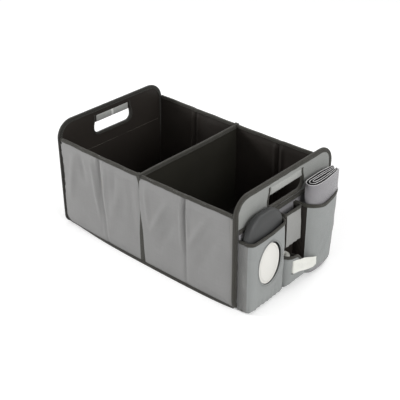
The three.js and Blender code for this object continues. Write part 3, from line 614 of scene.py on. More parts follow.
# The tapes down the walls: one at the middle, where the divider is sewn in, folded over the top
# binding, and one at each end, where the wall is sewn to the end panel.
grey_tape = woven_material("grey_tape", (0.25, 0.245, 0.235), contrast=0.15)
outer, tape_foot, tape_top = 0.1753, 0.0093, 0.2397
rise = [(outer, tape_foot), (outer, 0.236), (0.1766, 0.2405), (0.1768, 0.2485), (0.1762, 0.2512),
        (0.171, 0.2516), (0.1664, 0.251), (0.166, 0.247), (0.1661, 0.24)]
rise_run = run_of(rise)
for side, word in walls:
    def tape_point(s, t):
        y, z = along_line(t * rise_run[-1], rise_run, rise).T
        half = 0.0052 + 0.0024 * (1 - np.clip(z / 0.24, 0, 1))
        x = -side * (2 * s - 1) * half
        edge = 0.0006 * near(np.abs(2 * s - 1), 1, 0.35)
        away = wall_bow(side, x, z) - edge * (z < 0.238)
        return np.c_[x, side * (y + away), z]

    middle_tape = sheet_of(word + "_middle_strip", 10, 90, tape_point, (0.013, rise_run[-1]), 0.0009)
    dress(middle_tape, dark_tape, "binding_tape", word + "_middle_tape")
    for number, end in ((1, -1), (2, 1)):
        def corner_point(s, t):
            z = tape_foot + (tape_top - tape_foot) * t
            wide = 0.008 if end > 0 else 0.0045 + 0.006 * (1 - t) ** 1.6
            u = s if side < 0 else 1 - s
            x = end * half_length - end * (1 - u if end > 0 else u) * wide
            y = outer + wall_bow(side, x, z) - 0.0003 * (np.abs(u - 0.5) > 0.42)
            return np.c_[x, side * (y + 0.0003 * np.sin(z * 260 + number)), z]

        strip = sheet_of(f"{word}_corner_strip_{number}", 6, 60, corner_point, (0.008, 0.23), 0.0008)
        # All corner strips but the front one at the right are drawn in the darker copy of the tape, as
        # painted shade.
        tape = grey_tape if side < 0 < end else painted_shade_tape
        dress(strip, tape, "binding_tape", f"{word}_corner_tape_{number}")

# The divider: a stiff board between two black cloths, sewn to the middles of the side walls and
# bound along the top, so it follows both walls.
divider_cloth = woven_material("divider_cloth", (0.0108, 0.0096, 0.0056), contrast=0.12,
                               cloud=0.5, sheen=0.02)
divider_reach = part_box("divider_face_left")[1].y


def divider_shift(y, z):
    """How far the divider's points move along Y, with the walls it is sewn to."""
    share = np.clip(np.abs(y) / divider_reach, 0, 1)
    front = -wall_bow(-1, np.zeros_like(y), z)
    back = wall_bow(1, np.zeros_like(y), z)
    return np.where(y < 0, front, back) * share


def divider_lean(y, z):
    """The divider's slight wave, along X."""
    wave = 0.0016 * np.sin(y * 14 + 0.6) * np.clip(z / 0.25, 0, 1)
    return wave * (1 - (np.abs(y) / 0.18) ** 2)


for word, node, face, depth, thickness in (("left_side", "divider_face_left", -1, 0.0028, 0.001),
                                           ("right_side", "divider_face_right", 1, 0.0028, 0.001),
                                           ("board", "divider_board", 1, 0.0015, 0.003)):
    low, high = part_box(node)

    def divider_point(s, t):
        y = low.y + (high.y - low.y) * (s if face > 0 else 1 - s)
        z = low.z + (high.z - low.z) * t
        slack = 0.0006 * np.sin(y * 40 + 2 * face) * between(z, 0.01, 0.05, 0.21, 0.245)
        x = face * (depth + np.abs(slack) * (word != "board")) + divider_lean(y, z)
        return np.c_[x, y + divider_shift(y, z), z]

    panel = sheet_of("divider_" + word, 80, 50, divider_point, (high.y - low.y, high.z - low.z), thickness)
    if word == "board":
        dress(panel, fibre_board, "stiffener_board", node)
    else:
        dress(panel, divider_cloth, "black_lining", node)
across_box = np.linspace(-0.1664, 0.1664, 90)
top = np.full(90, 0.25)
top_of_divider = np.c_[divider_lean(across_box, top), across_box + divider_shift(across_box, top), top]
bind_edge("divider_top_tape", top_of_divider, (0, 0, -1), (1, 0, 0), 0.0041, ["divider_binding"])

# The base: one black cloth under the box, turned up as a narrow hem round the foot of the walls,
# and two loose boards laid on it, covered in the lining.
base_cloth = woven_material("base_cloth", (0.03, 0.028, 0.023), contrast=0.15)
base_lining = woven_material("base_lining", (0.011, 0.01, 0.0085), contrast=0.15, sheen=0.02)


def copy_of(name, node):
    """A copy of a node's mesh, its triangles merged into flat faces."""
    piece = bpy.data.objects.new(name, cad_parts[node].data.copy())
    bpy.context.scene.collection.objects.link(piece)
    piece.data.materials.clear()
    edit(piece, (bpy.ops.mesh.remove_doubles, {"threshold": merge_distance}),
         (bpy.ops.mesh.dissolve_limited, {"angle_limit": math.radians(0.5)}))
    return piece


def lay_flat(piece, axes):
    """A UV map in metres, straight across two of a piece's axes."""
    while piece.data.uv_layers:
        piece.data.uv_layers.remove(piece.data.uv_layers[0])
    layer = piece.data.uv_layers.new(name="UVMap")
    corner = np.empty(len(piece.data.loops), int)
    piece.data.loops.foreach_get("vertex_index", corner)
    layer.data.foreach_set("uv", points_of(piece)[corner][:, axes].ravel())


def cut_copy(name, node, cuts, move=np.copy):
    """A copy of a node's mesh, cut across at even steps along some axes, and its points moved."""
    piece = copy_of(name, node)
    low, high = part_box(node)
    for axis, pitch in cuts:
        normal = np.eye(3)[axis]
        count = round((high[axis] - low[axis]) / pitch)
        for k in range(1, count):
            spot = normal * (low[axis] + (high[axis] - low[axis]) * k / count)
            edit(piece, (bpy.ops.mesh.bisect, {"plane_co": tuple(spot), "plane_no": tuple(normal)}))
    thin = int(np.argmin(high - low))
    lay_flat(piece, [axis for axis in range(3) if axis != thin])
    set_points(piece, move(points_of(piece)))
    return piece


def with_walls(points):
    """The hem follows the bow of the walls that it is sewn to."""
    for side in (-1, 1):
        edge = points[:, 1] * side > 0.17
        bow = wall_bow(side, points[:, 0], points[:, 2])
        points[:, 1] += np.where(edge, side * (bow + 0.0002), 0)
    return points


base = cut_copy("base_hem", "base_cloth", ((0, 0.02),), with_walls)
dress(base, base_cloth, "black_lining", "base_cloth")
for word in ("left", "right"):
    board = cut_copy(word + "_base_panel", "base_board_" + word, ((0, 0.02), (1, 0.02)))
    dress(board, base_lining, "stiffener_board", "base_board_" + word)

# The end panels: a fibre board between grey canvas outside and black lining inside, higher than
# the walls, with wide round shoulders. The lining has a seam across it, below the hand slot.
end_canvas = woven_material("end_canvas", (0.275, 0.282, 0.27))
pale_thread = ribbed_material("pale_thread", (0.24, 0.22, 0.19), pitch=0.0004)
lining_seam, lining_face_x = 0.182, 0.2797
foot_radius, shoulder_radius, slot_radius = 0.024, 0.046, 0.015
ends = ((-1, "left"), (1, "right"))


def panel_wave(points, end, seed, height):
    """Soft, shallow waves over a panel, flat where it is bound."""
    y, z = points[:, 1], points[:, 2]
    free = ease(-np.abs(y), -0.172, -0.15) * between(z, 0.006, 0.03, 0.262, 0.284)
    free = free * (1 - 0.9 * near(np.abs(y), 0, 0.085) * near(z, 0.243, 0.035))
    return end * height * (0.4 + ripple(points * np.array([0, 1, 1]), 11, seed)) * free


for end, word in ends:
    def cover_wave(points):
        points[:, 0] += panel_wave(points, end, 4, 0.001)
        return points

    def lining_wave(points):
        points[:, 0] -= panel_wave(points, end, 6, 0.0012)
        points[:, 0] += end * 0.0004 * near(points[:, 2], lining_seam, 0.0018)
        return points

    cover = cut_copy(word + "_end_canvas", word + "_end_cover", ((1, 0.012), (2, 0.012)), cover_wave)
    dress(cover, end_canvas, "grey_cloth", word + "_end_cover")
    lining = cut_copy(word + "_end_inner_cloth", word + "_end_lining", ((1, 0.012), (2, 0.006)),
                      lining_wave)
    dress(lining, black_lining, "black_lining", word + "_end_lining")
    seam = np.full((60, 3), (end * lining_face_x, 0, lining_seam + 0.0022))
    seam[:, 1] = np.linspace(-0.16, 0.16, 60)
    stitches(word + "_end_seam", [(seam, (-end, 0, 0))], pitch=0.0036, material=pale_thread)
    board = cut_copy(word + "_end_fibre", word + "_end_board", ((1, 0.02), (2, 0.02)))
    dress(board, fibre_board, "stiffener_board", word + "_end_board")


def rounded_line(half, low, high, low_radius, high_radius):
    """Points round a panel standing across X, and the way into it, from the middle of its foot."""
    step = 0.003
    places, ways = [], []
    for y, z, radius, start in ((half - low_radius, low + low_radius, low_radius, -90),
                                (half - high_radius, high - high_radius, high_radius, 0),
                                (-half + high_radius, high - high_radius, high_radius, 90),
                                (-half + low_radius, low + low_radius, low_radius, 180)):
        for turn in np.radians(np.linspace(start, start + 90, 12)):
            out = np.array([math.cos(turn), math.sin(turn)])
            places.append(np.array([y, z]) + radius * out)
            ways.append(-out)
    run = run_of([*places, places[0]])
    at = np.linspace(0, run[-1], int(run[-1] / step))
    return along_line(at, run, [*places, places[0]]), unit(along_line(at, run, [*ways, ways[0]]))


def bind_panel(name, node, rim, ways, **settings):
    """Tape round an edge of a panel that stands across X, over the node's own width."""
    low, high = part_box(node)
    bind_edge(name, np.insert(rim, 0, (low.x + high.x) / 2, axis=1), np.insert(ways, 0, 0.0, axis=1),
              (1, 0, 0), (high.x - low.x) / 2, [node], **settings)


slot_curve = [(-0.047 - slot_radius * math.cos(t), 0.235 - slot_radius * math.sin(t))
              for t in np.radians(range(0, 91, 10))]
for end, word in ends:
    # The left end's tapes are drawn in the darker copy of the tape, as painted shade.
    tape = dark_tape if end > 0 else painted_shade_tape
    low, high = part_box(word + "_end_edge_binding")
    bind_panel(word + "_end_edge_tape", word + "_end_edge_binding",
               *rounded_line(high.y, low.z, high.z, foot_radius, shoulder_radius), closed=True,
               wave=0.0004, material=tape)
    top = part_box(word + "_end_slot_binding")[1].z
    rim = [(-0.0562, top), (-0.0562, 0.265), (-0.0568, 0.259), (-0.0585, 0.253), (-0.0606, 0.247),
           (-0.0617, 0.241), *slot_curve]
    rim += [(-y, z) for y, z in reversed(rim)]
    ways = np.gradient(np.array(rim), axis=0)
    bind_panel(word + "_slot_tape", word + "_end_slot_binding", rim,
               unit(np.c_[ways[:, 1], -ways[:, 0]]), reach=0.006, round_over=0.0015, step=0.003,
               material=tape)

# The grips: a padded sleeve of paler cloth round the top of each hand slot, closed by a seam
# across its middle. Foam fills it, so it swells between its ends.
grip_canvas = woven_material("grip_canvas", (0.34, 0.345, 0.33), contrast=0.15)
grip_seam = woven_material("grip_seam", (0.62, 0.62, 0.6), contrast=0.15)
most_swell = 0.0012


def add_block(name, middle, size):
    block = add_form(name, bpy.ops.mesh.primitive_cube_add, size=1, location=middle, scale=size)
    bpy.ops.object.transform_apply(location=True, rotation=True, scale=True)
    return block


for end, word in ends:
    low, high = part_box(word + "_end_grip")
    middle, size = (low + high) / 2, high - low
    grip = add_block(word + "_grip_sleeve", middle, (size.x * 0.9, size.y, size.z * 0.92))
    apply_modifier(grip, "BEVEL", width=0.0025, segments=3)
    apply_modifier(grip, "REMESH", mode="VOXEL", voxel_size=0.0028)
    start = points_of(grip)
    only(grip)
    cloth = grip.modifiers.new("cloth", "CLOTH")
    cloth.settings.use_pressure = True
    cloth.settings.uniform_pressure_force = 4
    cloth.settings.effector_weights.gravity = 0
    for step in range(1, 21):
        bpy.context.scene.frame_set(step)
    bpy.ops.object.modifier_apply(modifier=cloth.name)
    bpy.context.scene.frame_set(1)
    moved = points_of(grip) - start
    far = np.linalg.norm(moved, axis=1)[:, None]
    points = start + moved * np.minimum(1, most_swell / np.maximum(far, 1e-9))
    seam = near(points[:, 1], 0, 0.0016)
    points[:, 0] += (middle.x - points[:, 0]) * 0.12 * seam
    set_points(grip, points)
    apply_modifier(grip, "SUBSURF", levels=1, render_levels=1)
    lay_flat(grip, [1, 2])
    dress(grip, [grip_canvas, grip_seam], "grip_cloth", word + "_end_grip", angle=70)
    for face in grip.data.polygons:
        face.material_index = int(end < 0 and abs(face.center.y) < 0.0032)

# The pocket row on the right-hand end: a grey backing cloth sewn over the panel, bound along its
# top, which carries the four pockets. In the gap under the small pocket it is drawn black, as painted
# shade.
low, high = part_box("row_panel")
row_canvas = woven_material("row_canvas", (0.25, 0.245, 0.255))


def row_point(s, t):
    y = low.y + (high.y - low.y) * s
    z = low.z + (high.z - low.z) * t
    slack = 0.0008 * np.sin(y * 31 + 1) * between(z, 0.02, 0.06, 0.185, 0.208)
    return np.c_[np.full_like(y, high.x) + np.abs(slack) * 0.5, y, z]


row = sheet_of("row_backing", 90, 60, row_point, (high.y - low.y, high.z - low.z), 0.0015)
dress(row, [row_canvas, black_lining], "grey_cloth", "row_panel")
# Faces in the gap under the small pocket take the black lining cloth, as painted shade.
for face in row.data.polygons:
    face.material_index = int(face.center.z < 0.104 and abs(face.center.y) < 0.04)
low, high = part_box("row_binding")
row_edge = np.c_[np.linspace(low.y, high.y, 60), np.full(60, high.z)]
bind_panel("row_top_tape", "row_binding", row_edge, np.full((60, 2), (0.0, -1.0)), round_over=0.0012)

# The pockets: grey canvas shells that stand out from the row, with a rounded toe, a mouth bound
# with tape, and, on all but the roll pocket, a gusset at the near side: darker cloth on the wipes
# pocket, and black painted shade on the small and mat pockets. The roll pocket has a slit that a bag
# is pulled through, and the wipes pocket a hemmed oval window.
pocket_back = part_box("wipes_pocket")[0].x
pocket_canvas = woven_material("pocket_canvas", (0.275, 0.285, 0.28))
gusset_canvas = woven_material("gusset_canvas", (0.2, 0.2, 0.195), contrast=0.15, cloud=0.5)
small_canvas = woven_material("small_pocket_canvas", (0.285, 0.285, 0.275))


def line_through(points, smooth=True):
    """A line through points in a plane, by share of its length, with the way to its right."""
    points = np.asarray(points, float)
    if smooth:
        ends = np.vstack([2 * points[0] - points[1], points, 2 * points[-1] - points[-2]])
        parts = []
        for k in range(1, len(ends) - 2):
            a, b, c, d = ends[k - 1:k + 3]
            u = np.linspace(0, 1, 16, endpoint=False)[:, None]
            parts.append(0.5 * (2 * b + (c - a) * u + (2 * a - 5 * b + 4 * c - d) * u**2
                                + (3 * b - a - 3 * c + d) * u**3))
        points = np.vstack([*parts, points[-1:]])
    run = run_of(points)
    ways = np.gradient(points, run, axis=0)
    right = unit(np.c_[ways[:, 1], -ways[:, 0]])

    def at(share, values=points):
        return along_line(share, run / run[-1], values)

    return at, (lambda share: at(share, right)), run[-1]


def corner_plan(low_y, high_y, front, near_radius, far_radius):
    """The plan of a pocket with two round front corners, from its near side to its far side."""
    plan = [(pocket_back, low_y)]
    for y, radius, start in ((low_y + near_radius, near_radius, -90), (high_y - far_radius, far_radius, 0)):
        for t in np.radians(np.linspace(start, start + 90, 10)):
            plan.append((front - radius + radius * math.cos(t), y + radius * math.sin(t)))
    return [*plan, (pocket_back, high_y)]


def far_taper(y, z):
    """The far side of the row narrows towards its foot: how far its points move along Y."""
    return -0.014 * ease(y, 0.08, 0.167) * np.clip(1 - z / 0.188, 0, 1)


def pocket(word, plan, smooth, low, rim, toe, gusset, bulge, cloth=pocket_canvas,
           gusset_cloth_or_shade=gusset_canvas, flare=0.0, keep=None, columns=120, corner=0.0, lift=0.0, dip=0.0):
    """A pocket's shell and the tape round its mouth. gusset is the share of its plan that is the
    near side: darker cloth on the wipes pocket, black painted shade on the small and mat pockets.
    bulge swells it half way up, flare opens its mouth, and lift and dip bend it."""
    shell_thick, tape_half, bottom_share = 0.0015, 0.0021, 0.16
    at, right, length = line_through(plan, smooth)
    deepest = max(x for x, y in plan) - pocket_back
    widest = max(y for x, y in plan)

    def mouth(s):
        """The height of the mouth: it stands higher in the middle of the row, and may dip."""
        y = at(s)[:, 1]
        return rim + lift * between(y, -0.11, -0.02, 0.035, 0.085) - dip * ease(s, 0.4, 0.72)

    def shape(s, z):
        """The cloth's outer side at a share of the plan and a height."""
        flat, out = at(s), right(s)
        depth = flat[:, 0] - pocket_back
        up = np.clip((z - low) / (mouth(s) - low), 0, 1)
        drop = np.clip(toe - (z - low), 0, toe)
        face = deepest - toe + np.sqrt(np.maximum(toe**2 - drop**2, 0)) + 10 * (z - low >= toe)
        x = pocket_back + np.minimum(depth, face)
        y = flat[:, 1]
        if corner:
            rise = np.clip(corner - (z - low), 0, corner)
            y = np.minimum(y, widest - corner + np.sqrt(np.maximum(corner**2 - rise**2, 0)))
            y = y + far_taper(y, z)
        free = np.clip(depth / 0.012, 0, 1)
        push = free * (bulge * np.sin(np.pi * up) ** 0.8 + flare * up**2 * np.maximum(out[:, 0], -0.3))
        spots = np.c_[x, y, z]
        push = push + free * 0.0012 * ripple(spots, 38, len(word)) * (1 - near(up, 1, 0.05))
        push = push + free * 0.0009 * near(up, 0.03, 0.1) * np.sin(s * length * 420)
        if gusset:
            seam = near(s * length, gusset * length, 0.0012)
            side_cloth = ease(-s, -gusset, -gusset * 0.7)
            push = push + 0.0009 * seam
            push = push - free * side_cloth * 0.0014 * (0.5 + 0.5 * np.sin(z * 330 + 2 * s * 60))
        return x + push * out[:, 0], y + push * out[:, 1]

    def where(s, t):
        up = np.clip((t - bottom_share) / (1 - bottom_share), 0, 1)
        z = low + (mouth(s) - low) * up
        x, y = shape(s, z)
        back = np.clip(t / bottom_share, 0, 1)
        x = pocket_back + (x - pocket_back) * np.where(t < bottom_share, 0.04 + 0.96 * back, 1.0)
        return np.c_[x, y, z]

    shell = sheet_of(word + "_pocket_cloth", columns, 56, where,
                     (length, (rim - low) / (1 - bottom_share)), shell_thick, keep=keep)
    dress(shell, [cloth, gusset_cloth_or_shade, black_lining], "grey_cloth", word + "_pocket")
    layer = shell.data.uv_layers[0].data
    shares = np.array([np.mean([layer[k].uv.x for k in face.loop_indices]) for face in shell.data.polygons])
    out = right(shares / length)
    for face, share, way in zip(shell.data.polygons, shares / length, out):
        inside = face.normal.x * way[0] + face.normal.y * way[1] < -0.2 or face.normal.z > 0.7
        face.material_index = 2 if inside else int(share < gusset)
    share = np.linspace(0, 1, 140)
    height = mouth(share)
    x, y = shape(share, height)
    out = np.insert(right(share), 2, 0.0, axis=1)
    edge = np.c_[x, y, height] - out * shell_thick / 2
    edge[:, 2] += 0.0013
    bind_edge(word + "_pocket_rim_tape", edge, (0, 0, -1), out, tape_half, [word + "_pocket_rim"],
              reach=0.008, round_over=0.0009, step=0.003)
    return shell


wipes_front, wipes_bulge, wipes_corner = 0.3256, 0.0012, 0.016
wipes_plan = corner_plan(-0.167, -0.0395, wipes_front, wipes_corner, wipes_corner)
wipes_cloth = pocket("wipes", wipes_plan, False, low=0.004, rim=0.1887, toe=0.008, gusset=0.13,
                     bulge=wipes_bulge, lift=0.008)
small_plan = corner_plan(-0.0304, 0.0302, 0.3155, 0.007, 0.007)
# Its near side is drawn in the black lining cloth, as painted shade.
pocket("small", small_plan, False, low=0.108, rim=0.1887, toe=0.005, gusset=0.24, bulge=0.001,
       cloth=small_canvas, gusset_cloth_or_shade=black_lining, flare=-0.004,
       columns=70, lift=0.009)

roll_plan = [(pocket_back, -0.0384), (0.3, -0.0384), (0.312, -0.0376), (0.3225, -0.0335), (0.329, -0.0265),
             (0.3315, -0.017), (0.332, -0.002), (0.3318, 0.014), (0.33, 0.026), (0.3245, 0.0318),
             (0.315, 0.0324), (pocket_back, 0.0324)]
roll_line, _, roll_length = line_through(roll_plan)
front_shares = np.linspace(0.3, 0.7, 200)
slit_share = float(np.interp(-0.0215, roll_line(front_shares)[:, 1], front_shares))
slit_half = 0.0013 / roll_length


def around_slit(s, t):
    """False where the slit is left open."""
    return not (abs(s - slit_share) < slit_half + 0.004 and 0.52 < t < 0.88)


pocket("roll", roll_plan, True, low=0.004, rim=0.0925, toe=0.022, gusset=0.0, bulge=0.0012,
       flare=0.004, keep=around_slit, columns=110, dip=0.04)

mat_plan = [(pocket_back, 0.0344), (0.305, 0.0344), (0.32, 0.0365), (0.332, 0.045), (0.3388, 0.059),
            (0.3402, 0.076), (0.3385, 0.1), (0.3325, 0.13), (0.3255, 0.15), (0.3185, 0.1615),
            (0.309, 0.1665), (pocket_back, 0.1668)]
# Its near side is drawn in the black lining cloth, as painted shade.
pocket("mat", mat_plan, True, low=0.004, rim=0.188, toe=0.026, gusset=0.165, bulge=0.0016,
       gusset_cloth_or_shade=black_lining, columns=150, corner=0.04, lift=0.01)

window_y, window_z = -0.101, 0.112
window_wide, window_tall = 0.0402, 0.0545
cutter = add_form("cutter", bpy.ops.mesh.primitive_cylinder_add, vertices=72, radius=1, depth=0.03,
                  location=(0.328, window_y, window_z), rotation=(0, math.pi / 2, 0))
cutter.scale = (window_tall, window_wide, 1)
bpy.ops.object.transform_apply(location=True, rotation=True, scale=True)
apply_modifier(wipes_cloth, "BOOLEAN", operation="DIFFERENCE", object=cutter, solver="EXACT")
bpy.data.objects.remove(cutter)
turn = np.linspace(0, 2 * math.pi, 90)
hem = np.c_[np.full(90, wipes_front + 0.001 - 0.00075),
            window_y + window_wide * np.cos(turn), window_z + window_tall * np.sin(turn)]
away = unit(np.c_[np.zeros(90), np.cos(turn) / window_wide, np.sin(turn) / window_tall])
bind_edge("window_hem_tape", hem, away, (1, 0, 0), 0.0019, [], reach=0.004, round_over=0.0008,
          closed=True, material=pocket_canvas, slot="grey_cloth", step=0.0025)

# The wipes case: two moulded charcoal shells, edge to edge, with round shoulders and a softly
# crowned face, open in front behind the lid.
case_low, case_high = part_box("wipes_case_front")
case_y, opening_z = (case_low.y + case_high.y) / 2, 0.112


def moulded_material(name, colour, rough, coat=0.0, patch=0.12):
    """A moulded plastic with a fine spark-eroded grain and faint uneven gloss."""
    def pattern(tree, place):
        broad = noise_node(tree, place, 20.0, 4.0)
        shade = shade_node(tree, (*colour, 1), scaled(tree, broad, patch, 1 - patch / 2))
        return shade, scaled(tree, broad, 0.18, rough - 0.09), noise_node(tree, place, 900.0, 2.0)

    shine = {"Coat Weight": coat, "Specular IOR Level": 0.5}
    return surface(name, colour, "Object", pattern, 0.5, 0.00008, shine)


charcoal_plastic = moulded_material("charcoal_plastic", (0.033, 0.034, 0.034), 0.56)
white_plastic = moulded_material("white_plastic", (0.7, 0.69, 0.65), 0.38, patch=0.04, coat=0.1)


def case_half(name, node, seam_x, outward, opening):
    """Half of the case: rings from its seam over its round edge and face to the opening."""
    low, high = case_low, case_high
    place, way = rounded_line((high.y - low.y) / 2 + 0.0015, low.z, high.z, 0.018, 0.046)
    place = place + np.array([case_y, 0])
    centre = np.array([case_y, opening_z])
    polar = place - centre
    rim = polar / np.linalg.norm(polar / np.array(opening), axis=1)[:, None] + centre
    share = np.linspace(0, 1, len(place))
    depth = case_high.x - case_low.x

    def where(s, t):
        s = s if outward > 0 else 1 - s
        edge = np.clip(t / 0.5, 0, 1) * math.pi / 2
        inner = np.clip((t - 0.5) / 0.5, 0, 1)
        start, way_in, end = (along_line(s, share, line) for line in (place, way, rim))
        start = start + way_in * (0.02 * (1 - np.cos(edge)))[:, None]
        spot = start + (end - start) * inner[:, None]
        x = seam_x + outward * (0.0022 + (depth - 0.0042) * np.sin(edge) ** 0.7
                                + 0.002 * np.sin(inner * math.pi / 2))
        return np.insert(spot, 0, np.where(t < 0.012, seam_x, x), axis=1)

    shell = sheet_of(name, 150, 36, where, (0.6, 0.06), 0.002, closed=True)
    dress(shell, charcoal_plastic, "case_shell", node, angle=35)


case_half("case_front_shell", "wipes_case_front", case_low.x, 1, (0.024, 0.036))
case_half("case_back_shell", "wipes_case_back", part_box("wipes_case_back")[1].x, -1, (0.002, 0.003))

# The flip lid: a white moulded frame with two ears holds an oval lid, which turns on a wire pin
# across its top. The wipes lie behind it, a pad of moist folded sheets.
for name, node, body in (("lid_frame_moulding", "wipes_lid_frame", "organizer"),
                         ("lid_moulding", "wipes_lid", "lid")):
    moulding = copy_of(name, node)
    apply_modifier(moulding, "BEVEL", width=0.0004, segments=2, limit_method="ANGLE",
                   angle_limit=math.radians(40))
    dress(moulding, white_plastic, "lid_plastic", node, body=body, angle=30)
steel = moulded_material("wire_steel", (0.55, 0.55, 0.54), 0.3)
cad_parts["wipes_lid_pin"].data.materials.clear()
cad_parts["wipes_lid_pin"].data.materials.append(steel)
wipes_white = woven_material("wipes_white", (0.76, 0.76, 0.75), threads=500, contrast=0.05, sheen=0.0,
                             coordinates="Object")
low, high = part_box("wipes_stack")
pad = add_block("wipes_pad", (low + high) / 2, high - low)
apply_modifier(pad, "BEVEL", width=0.004, segments=4)
edit(pad, (bpy.ops.mesh.subdivide, {"number_cuts": 6}))
points = points_of(pad)
sunk = ease(-np.abs(points[:, 1] - case_y), -0.042, -0.03)
points[:, 0] -= (points[:, 0] - low.x) * 0.03 * (1 - sunk)
points[:, 1] += 0.0006 * np.sin(points[:, 0] * 3100) * (1 - sunk)
set_points(pad, points)
dress(pad, wipes_white, "wipes_pad", "wipes_stack")

# The changing mat: a thin padded sheet with a soft purplish-grey cover and a pale hem, folded over
# itself in six layers; the cover between the layers is drawn near black, as painted shade. It stands
# on end in its pocket, and the folds are pressed together at the far side.
mat_cover = woven_material("mat_cover", (0.235, 0.228, 0.238), contrast=0.08, cloud=0.3,
                           rough=0.33, sheen=0.03)
mat_low, mat_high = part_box("changing_mat")
mat_line = [(0.3232, 0.156), (0.33, 0.125), (0.3345, 0.09), (0.334, 0.062), (0.329, 0.048),
            (0.3181, 0.0425), (0.3072, 0.0475), (0.303, 0.06), (0.3028, 0.08), (0.303, 0.11),
            (0.3034, 0.152), (0.3056, 0.1562), (0.308, 0.152), (0.3088, 0.11), (0.309, 0.08),
            (0.3092, 0.062), (0.3118, 0.0535), (0.3181, 0.05), (0.3244, 0.0535), (0.3277, 0.062),
            (0.3286, 0.082), (0.3262, 0.112), (0.32, 0.151), (0.3184, 0.1535), (0.3165, 0.151),
            (0.3212, 0.112), (0.3228, 0.082), (0.3218, 0.065), (0.3181, 0.059), (0.3148, 0.065),
            (0.3146, 0.082), (0.3142, 0.112), (0.3122, 0.152)]
mat_at, mat_right, mat_length = line_through(mat_line)
mat_outer = line_through(mat_line[:11])[2] / mat_length
mat_half, hem_share, mat_height = 0.0013, 0.955, 0.244


def mat_point(s, t):
    """Round the folded sheet: out along one side of its middle and back along the other."""
    way = np.where(s < 0.5, 1.0, -1.0)
    share = np.where(s < 0.5, 2 * s, 2 - 2 * s)
    middle = mat_at(share)
    top = mat_high.z - 0.0016 * np.abs(np.sin(share * 11)) - 0.003 * ease(middle[:, 1], 0.1, 0.155)
    z = mat_low.z + (top - mat_low.z) * np.sin(t * math.pi / 2)
    half = mat_half * (1 - 0.15 * ease(middle[:, 1], 0.055, 0.15))
    round_ends = np.sqrt(np.clip(1 - np.abs(2 * share - 1) ** 60, 0, 1))
    crown = np.clip((z - (top - 0.003)) / 0.003, 0, 1)
    foot = np.clip((mat_low.z + 0.006 - z) / 0.006, 0, 1)
    half = half * round_ends * np.sqrt(np.clip(1 - crown**2, 0, 1)) * np.sqrt(np.clip(1 - foot**2, 0, 1))
    x, y = (middle + (way * half)[:, None] * mat_right(share)).T
    return np.c_[x, y + far_taper(y, z), z]


mat = sheet_of("folded_mat", 560, 44, mat_point, (2 * mat_length, mat_height), closed=True)
edit(mat, (bpy.ops.mesh.normals_make_consistent, {"inside": False}))
mat_edge = woven_material("mat_edge", (0.66, 0.65, 0.65), contrast=0.1, rough=0.6)
# Near black, as painted shade between the folded layers.
mat_fold_shade = woven_material("mat_fold_shade", (0.02, 0.019, 0.02), contrast=0.1)
dress(mat, [mat_cover, mat_edge, mat_fold_shade], "mat_cloth", "changing_mat", angle=60)
mat_shares = np.empty(len(mat.data.loops) * 2)
mat.data.uv_layers[0].data.foreach_get("uv", mat_shares)
mat_shares = mat_shares.reshape(-1, 2) / np.array([2 * mat_length, mat_height])
# Faces of the outer wrap take the cover, the top edge the pale hem, and all the rest the near-black painted
# shade.
for face in mat.data.polygons:
    share, up = mat_shares[face.loop_start:face.loop_start + face.loop_total].mean(axis=0)
    wrapped = share > 0.5 and 2 - 2 * share < mat_outer
    face.material_index = 1 if up > hem_share else 0 if wrapped else 2

# The bags: a roll of thin white bags stands in the lower pocket, and the end of one is pulled out
# through the slit and lies over the mat pocket.
film_white = (0.74, 0.74, 0.69)


def film_pattern(tree, place):
    """Thin crinkled film: soft gloss, and creases in its surface."""
    crease = add_node(tree, "ShaderNodeTexVoronoi", {"Vector": place, "Scale": 95.0},
                      feature="DISTANCE_TO_EDGE").outputs[0]
    wrinkle = noise_node(tree, place, 160.0, 4.0)
    shade = shade_node(tree, (*film_white, 1), scaled(tree, wrinkle, 0.14, 0.93))
    return shade, scaled(tree, wrinkle, 0.2, 0.28), scaled(tree, crease, 0.8, wrinkle)


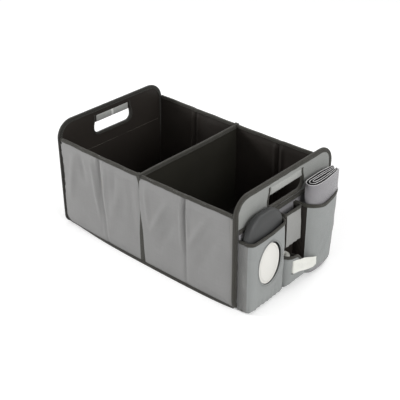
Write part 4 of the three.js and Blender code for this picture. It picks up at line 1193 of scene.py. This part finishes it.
white_film = surface("white_film", film_white, "UV", film_pattern, 0.25, 0.0002,
                     {"Specular IOR Level": 0.5})
low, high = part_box("bag_roll")
roll_centre, roll_radius = (low + high) / 2, (high.x - low.x) / 2
roll_profile = np.array([(0.36, 0.04), (0.36, 0.97), (0.45, 0.992), (0.85, 1.0), (0.97, 0.985), (1.0, 0.95),
                         (0.99, 0.5), (1.0, 0.05), (0.96, 0.012), (0.8, 0.0), (0.45, 0.006), (0.36, 0.04)])
roll_run = np.linspace(0, 1, len(roll_profile))
roll_rise = 0.006


def roll_point(s, t):
    turn = 2 * math.pi * s
    radius = np.interp(t, roll_run, roll_profile[:, 0]) * roll_radius
    z = low.z + (high.z + roll_rise - low.z) * np.interp(t, roll_run, roll_profile[:, 1])
    layers = 0.0004 * np.sin(radius * 5200 + turn) * (np.abs(z - roll_centre.z) > 0.035)
    radius = radius * (1 + 0.008 * np.sin(3 * turn))
    x, y = roll_centre.x + radius * np.cos(turn), roll_centre.y + radius * np.sin(turn)
    return np.c_[x, y, z + layers]


roll = sheet_of("film_roll", 64, 66, roll_point, (0.09, 0.2), closed=True)
edit(roll, (bpy.ops.mesh.normals_make_consistent, {"inside": False}))
dress(roll, white_film, "bag_film", "bag_roll", angle=50)

bag_line = [(0.319, -0.0215), (0.328, -0.0224), (0.3342, -0.0222), (0.3372, -0.018), (0.338, -0.005),
            (0.3378, 0.01), (0.338, 0.025), (0.3408, 0.04), (0.344, 0.056)]
bag_at, bag_right, bag_length = line_through(bag_line)


def bag_point(s, t):
    flat, out = bag_at(s), bag_right(s)
    free = ease(s, 0.12, 0.35)
    low_edge = 0.045 - 0.015 * ease(s, 0.2, 0.85) + 0.0045 * ease(s, 0.9, 1.0)
    high_edge = 0.08 - 0.024 * np.clip((s - 0.25) / 0.75, 0, 1)
    z = low_edge + (high_edge - low_edge) * t
    fold = 0.0004 * np.sin(t * 9 + 5 * s) * free + 0.0005 * np.sin(s * 13 + 3 * t) * free
    spots = np.c_[flat[:, 0], flat[:, 1], z]
    fold = fold + 0.0009 * ripple(spots, 45, 2) * free + 0.001 * near(t, 0, 0.12) * free
    return np.c_[flat[:, 0] + out[:, 0] * np.maximum(fold, -0.0008), flat[:, 1] + out[:, 1] * fold, z]


bag = sheet_of("pulled_film", 90, 36, bag_point, (bag_length, 0.034), 0.0005)
dress(bag, white_film, "bag_film", "pulled_bag", angle=70)

# The size of the dressed model.
low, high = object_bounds()
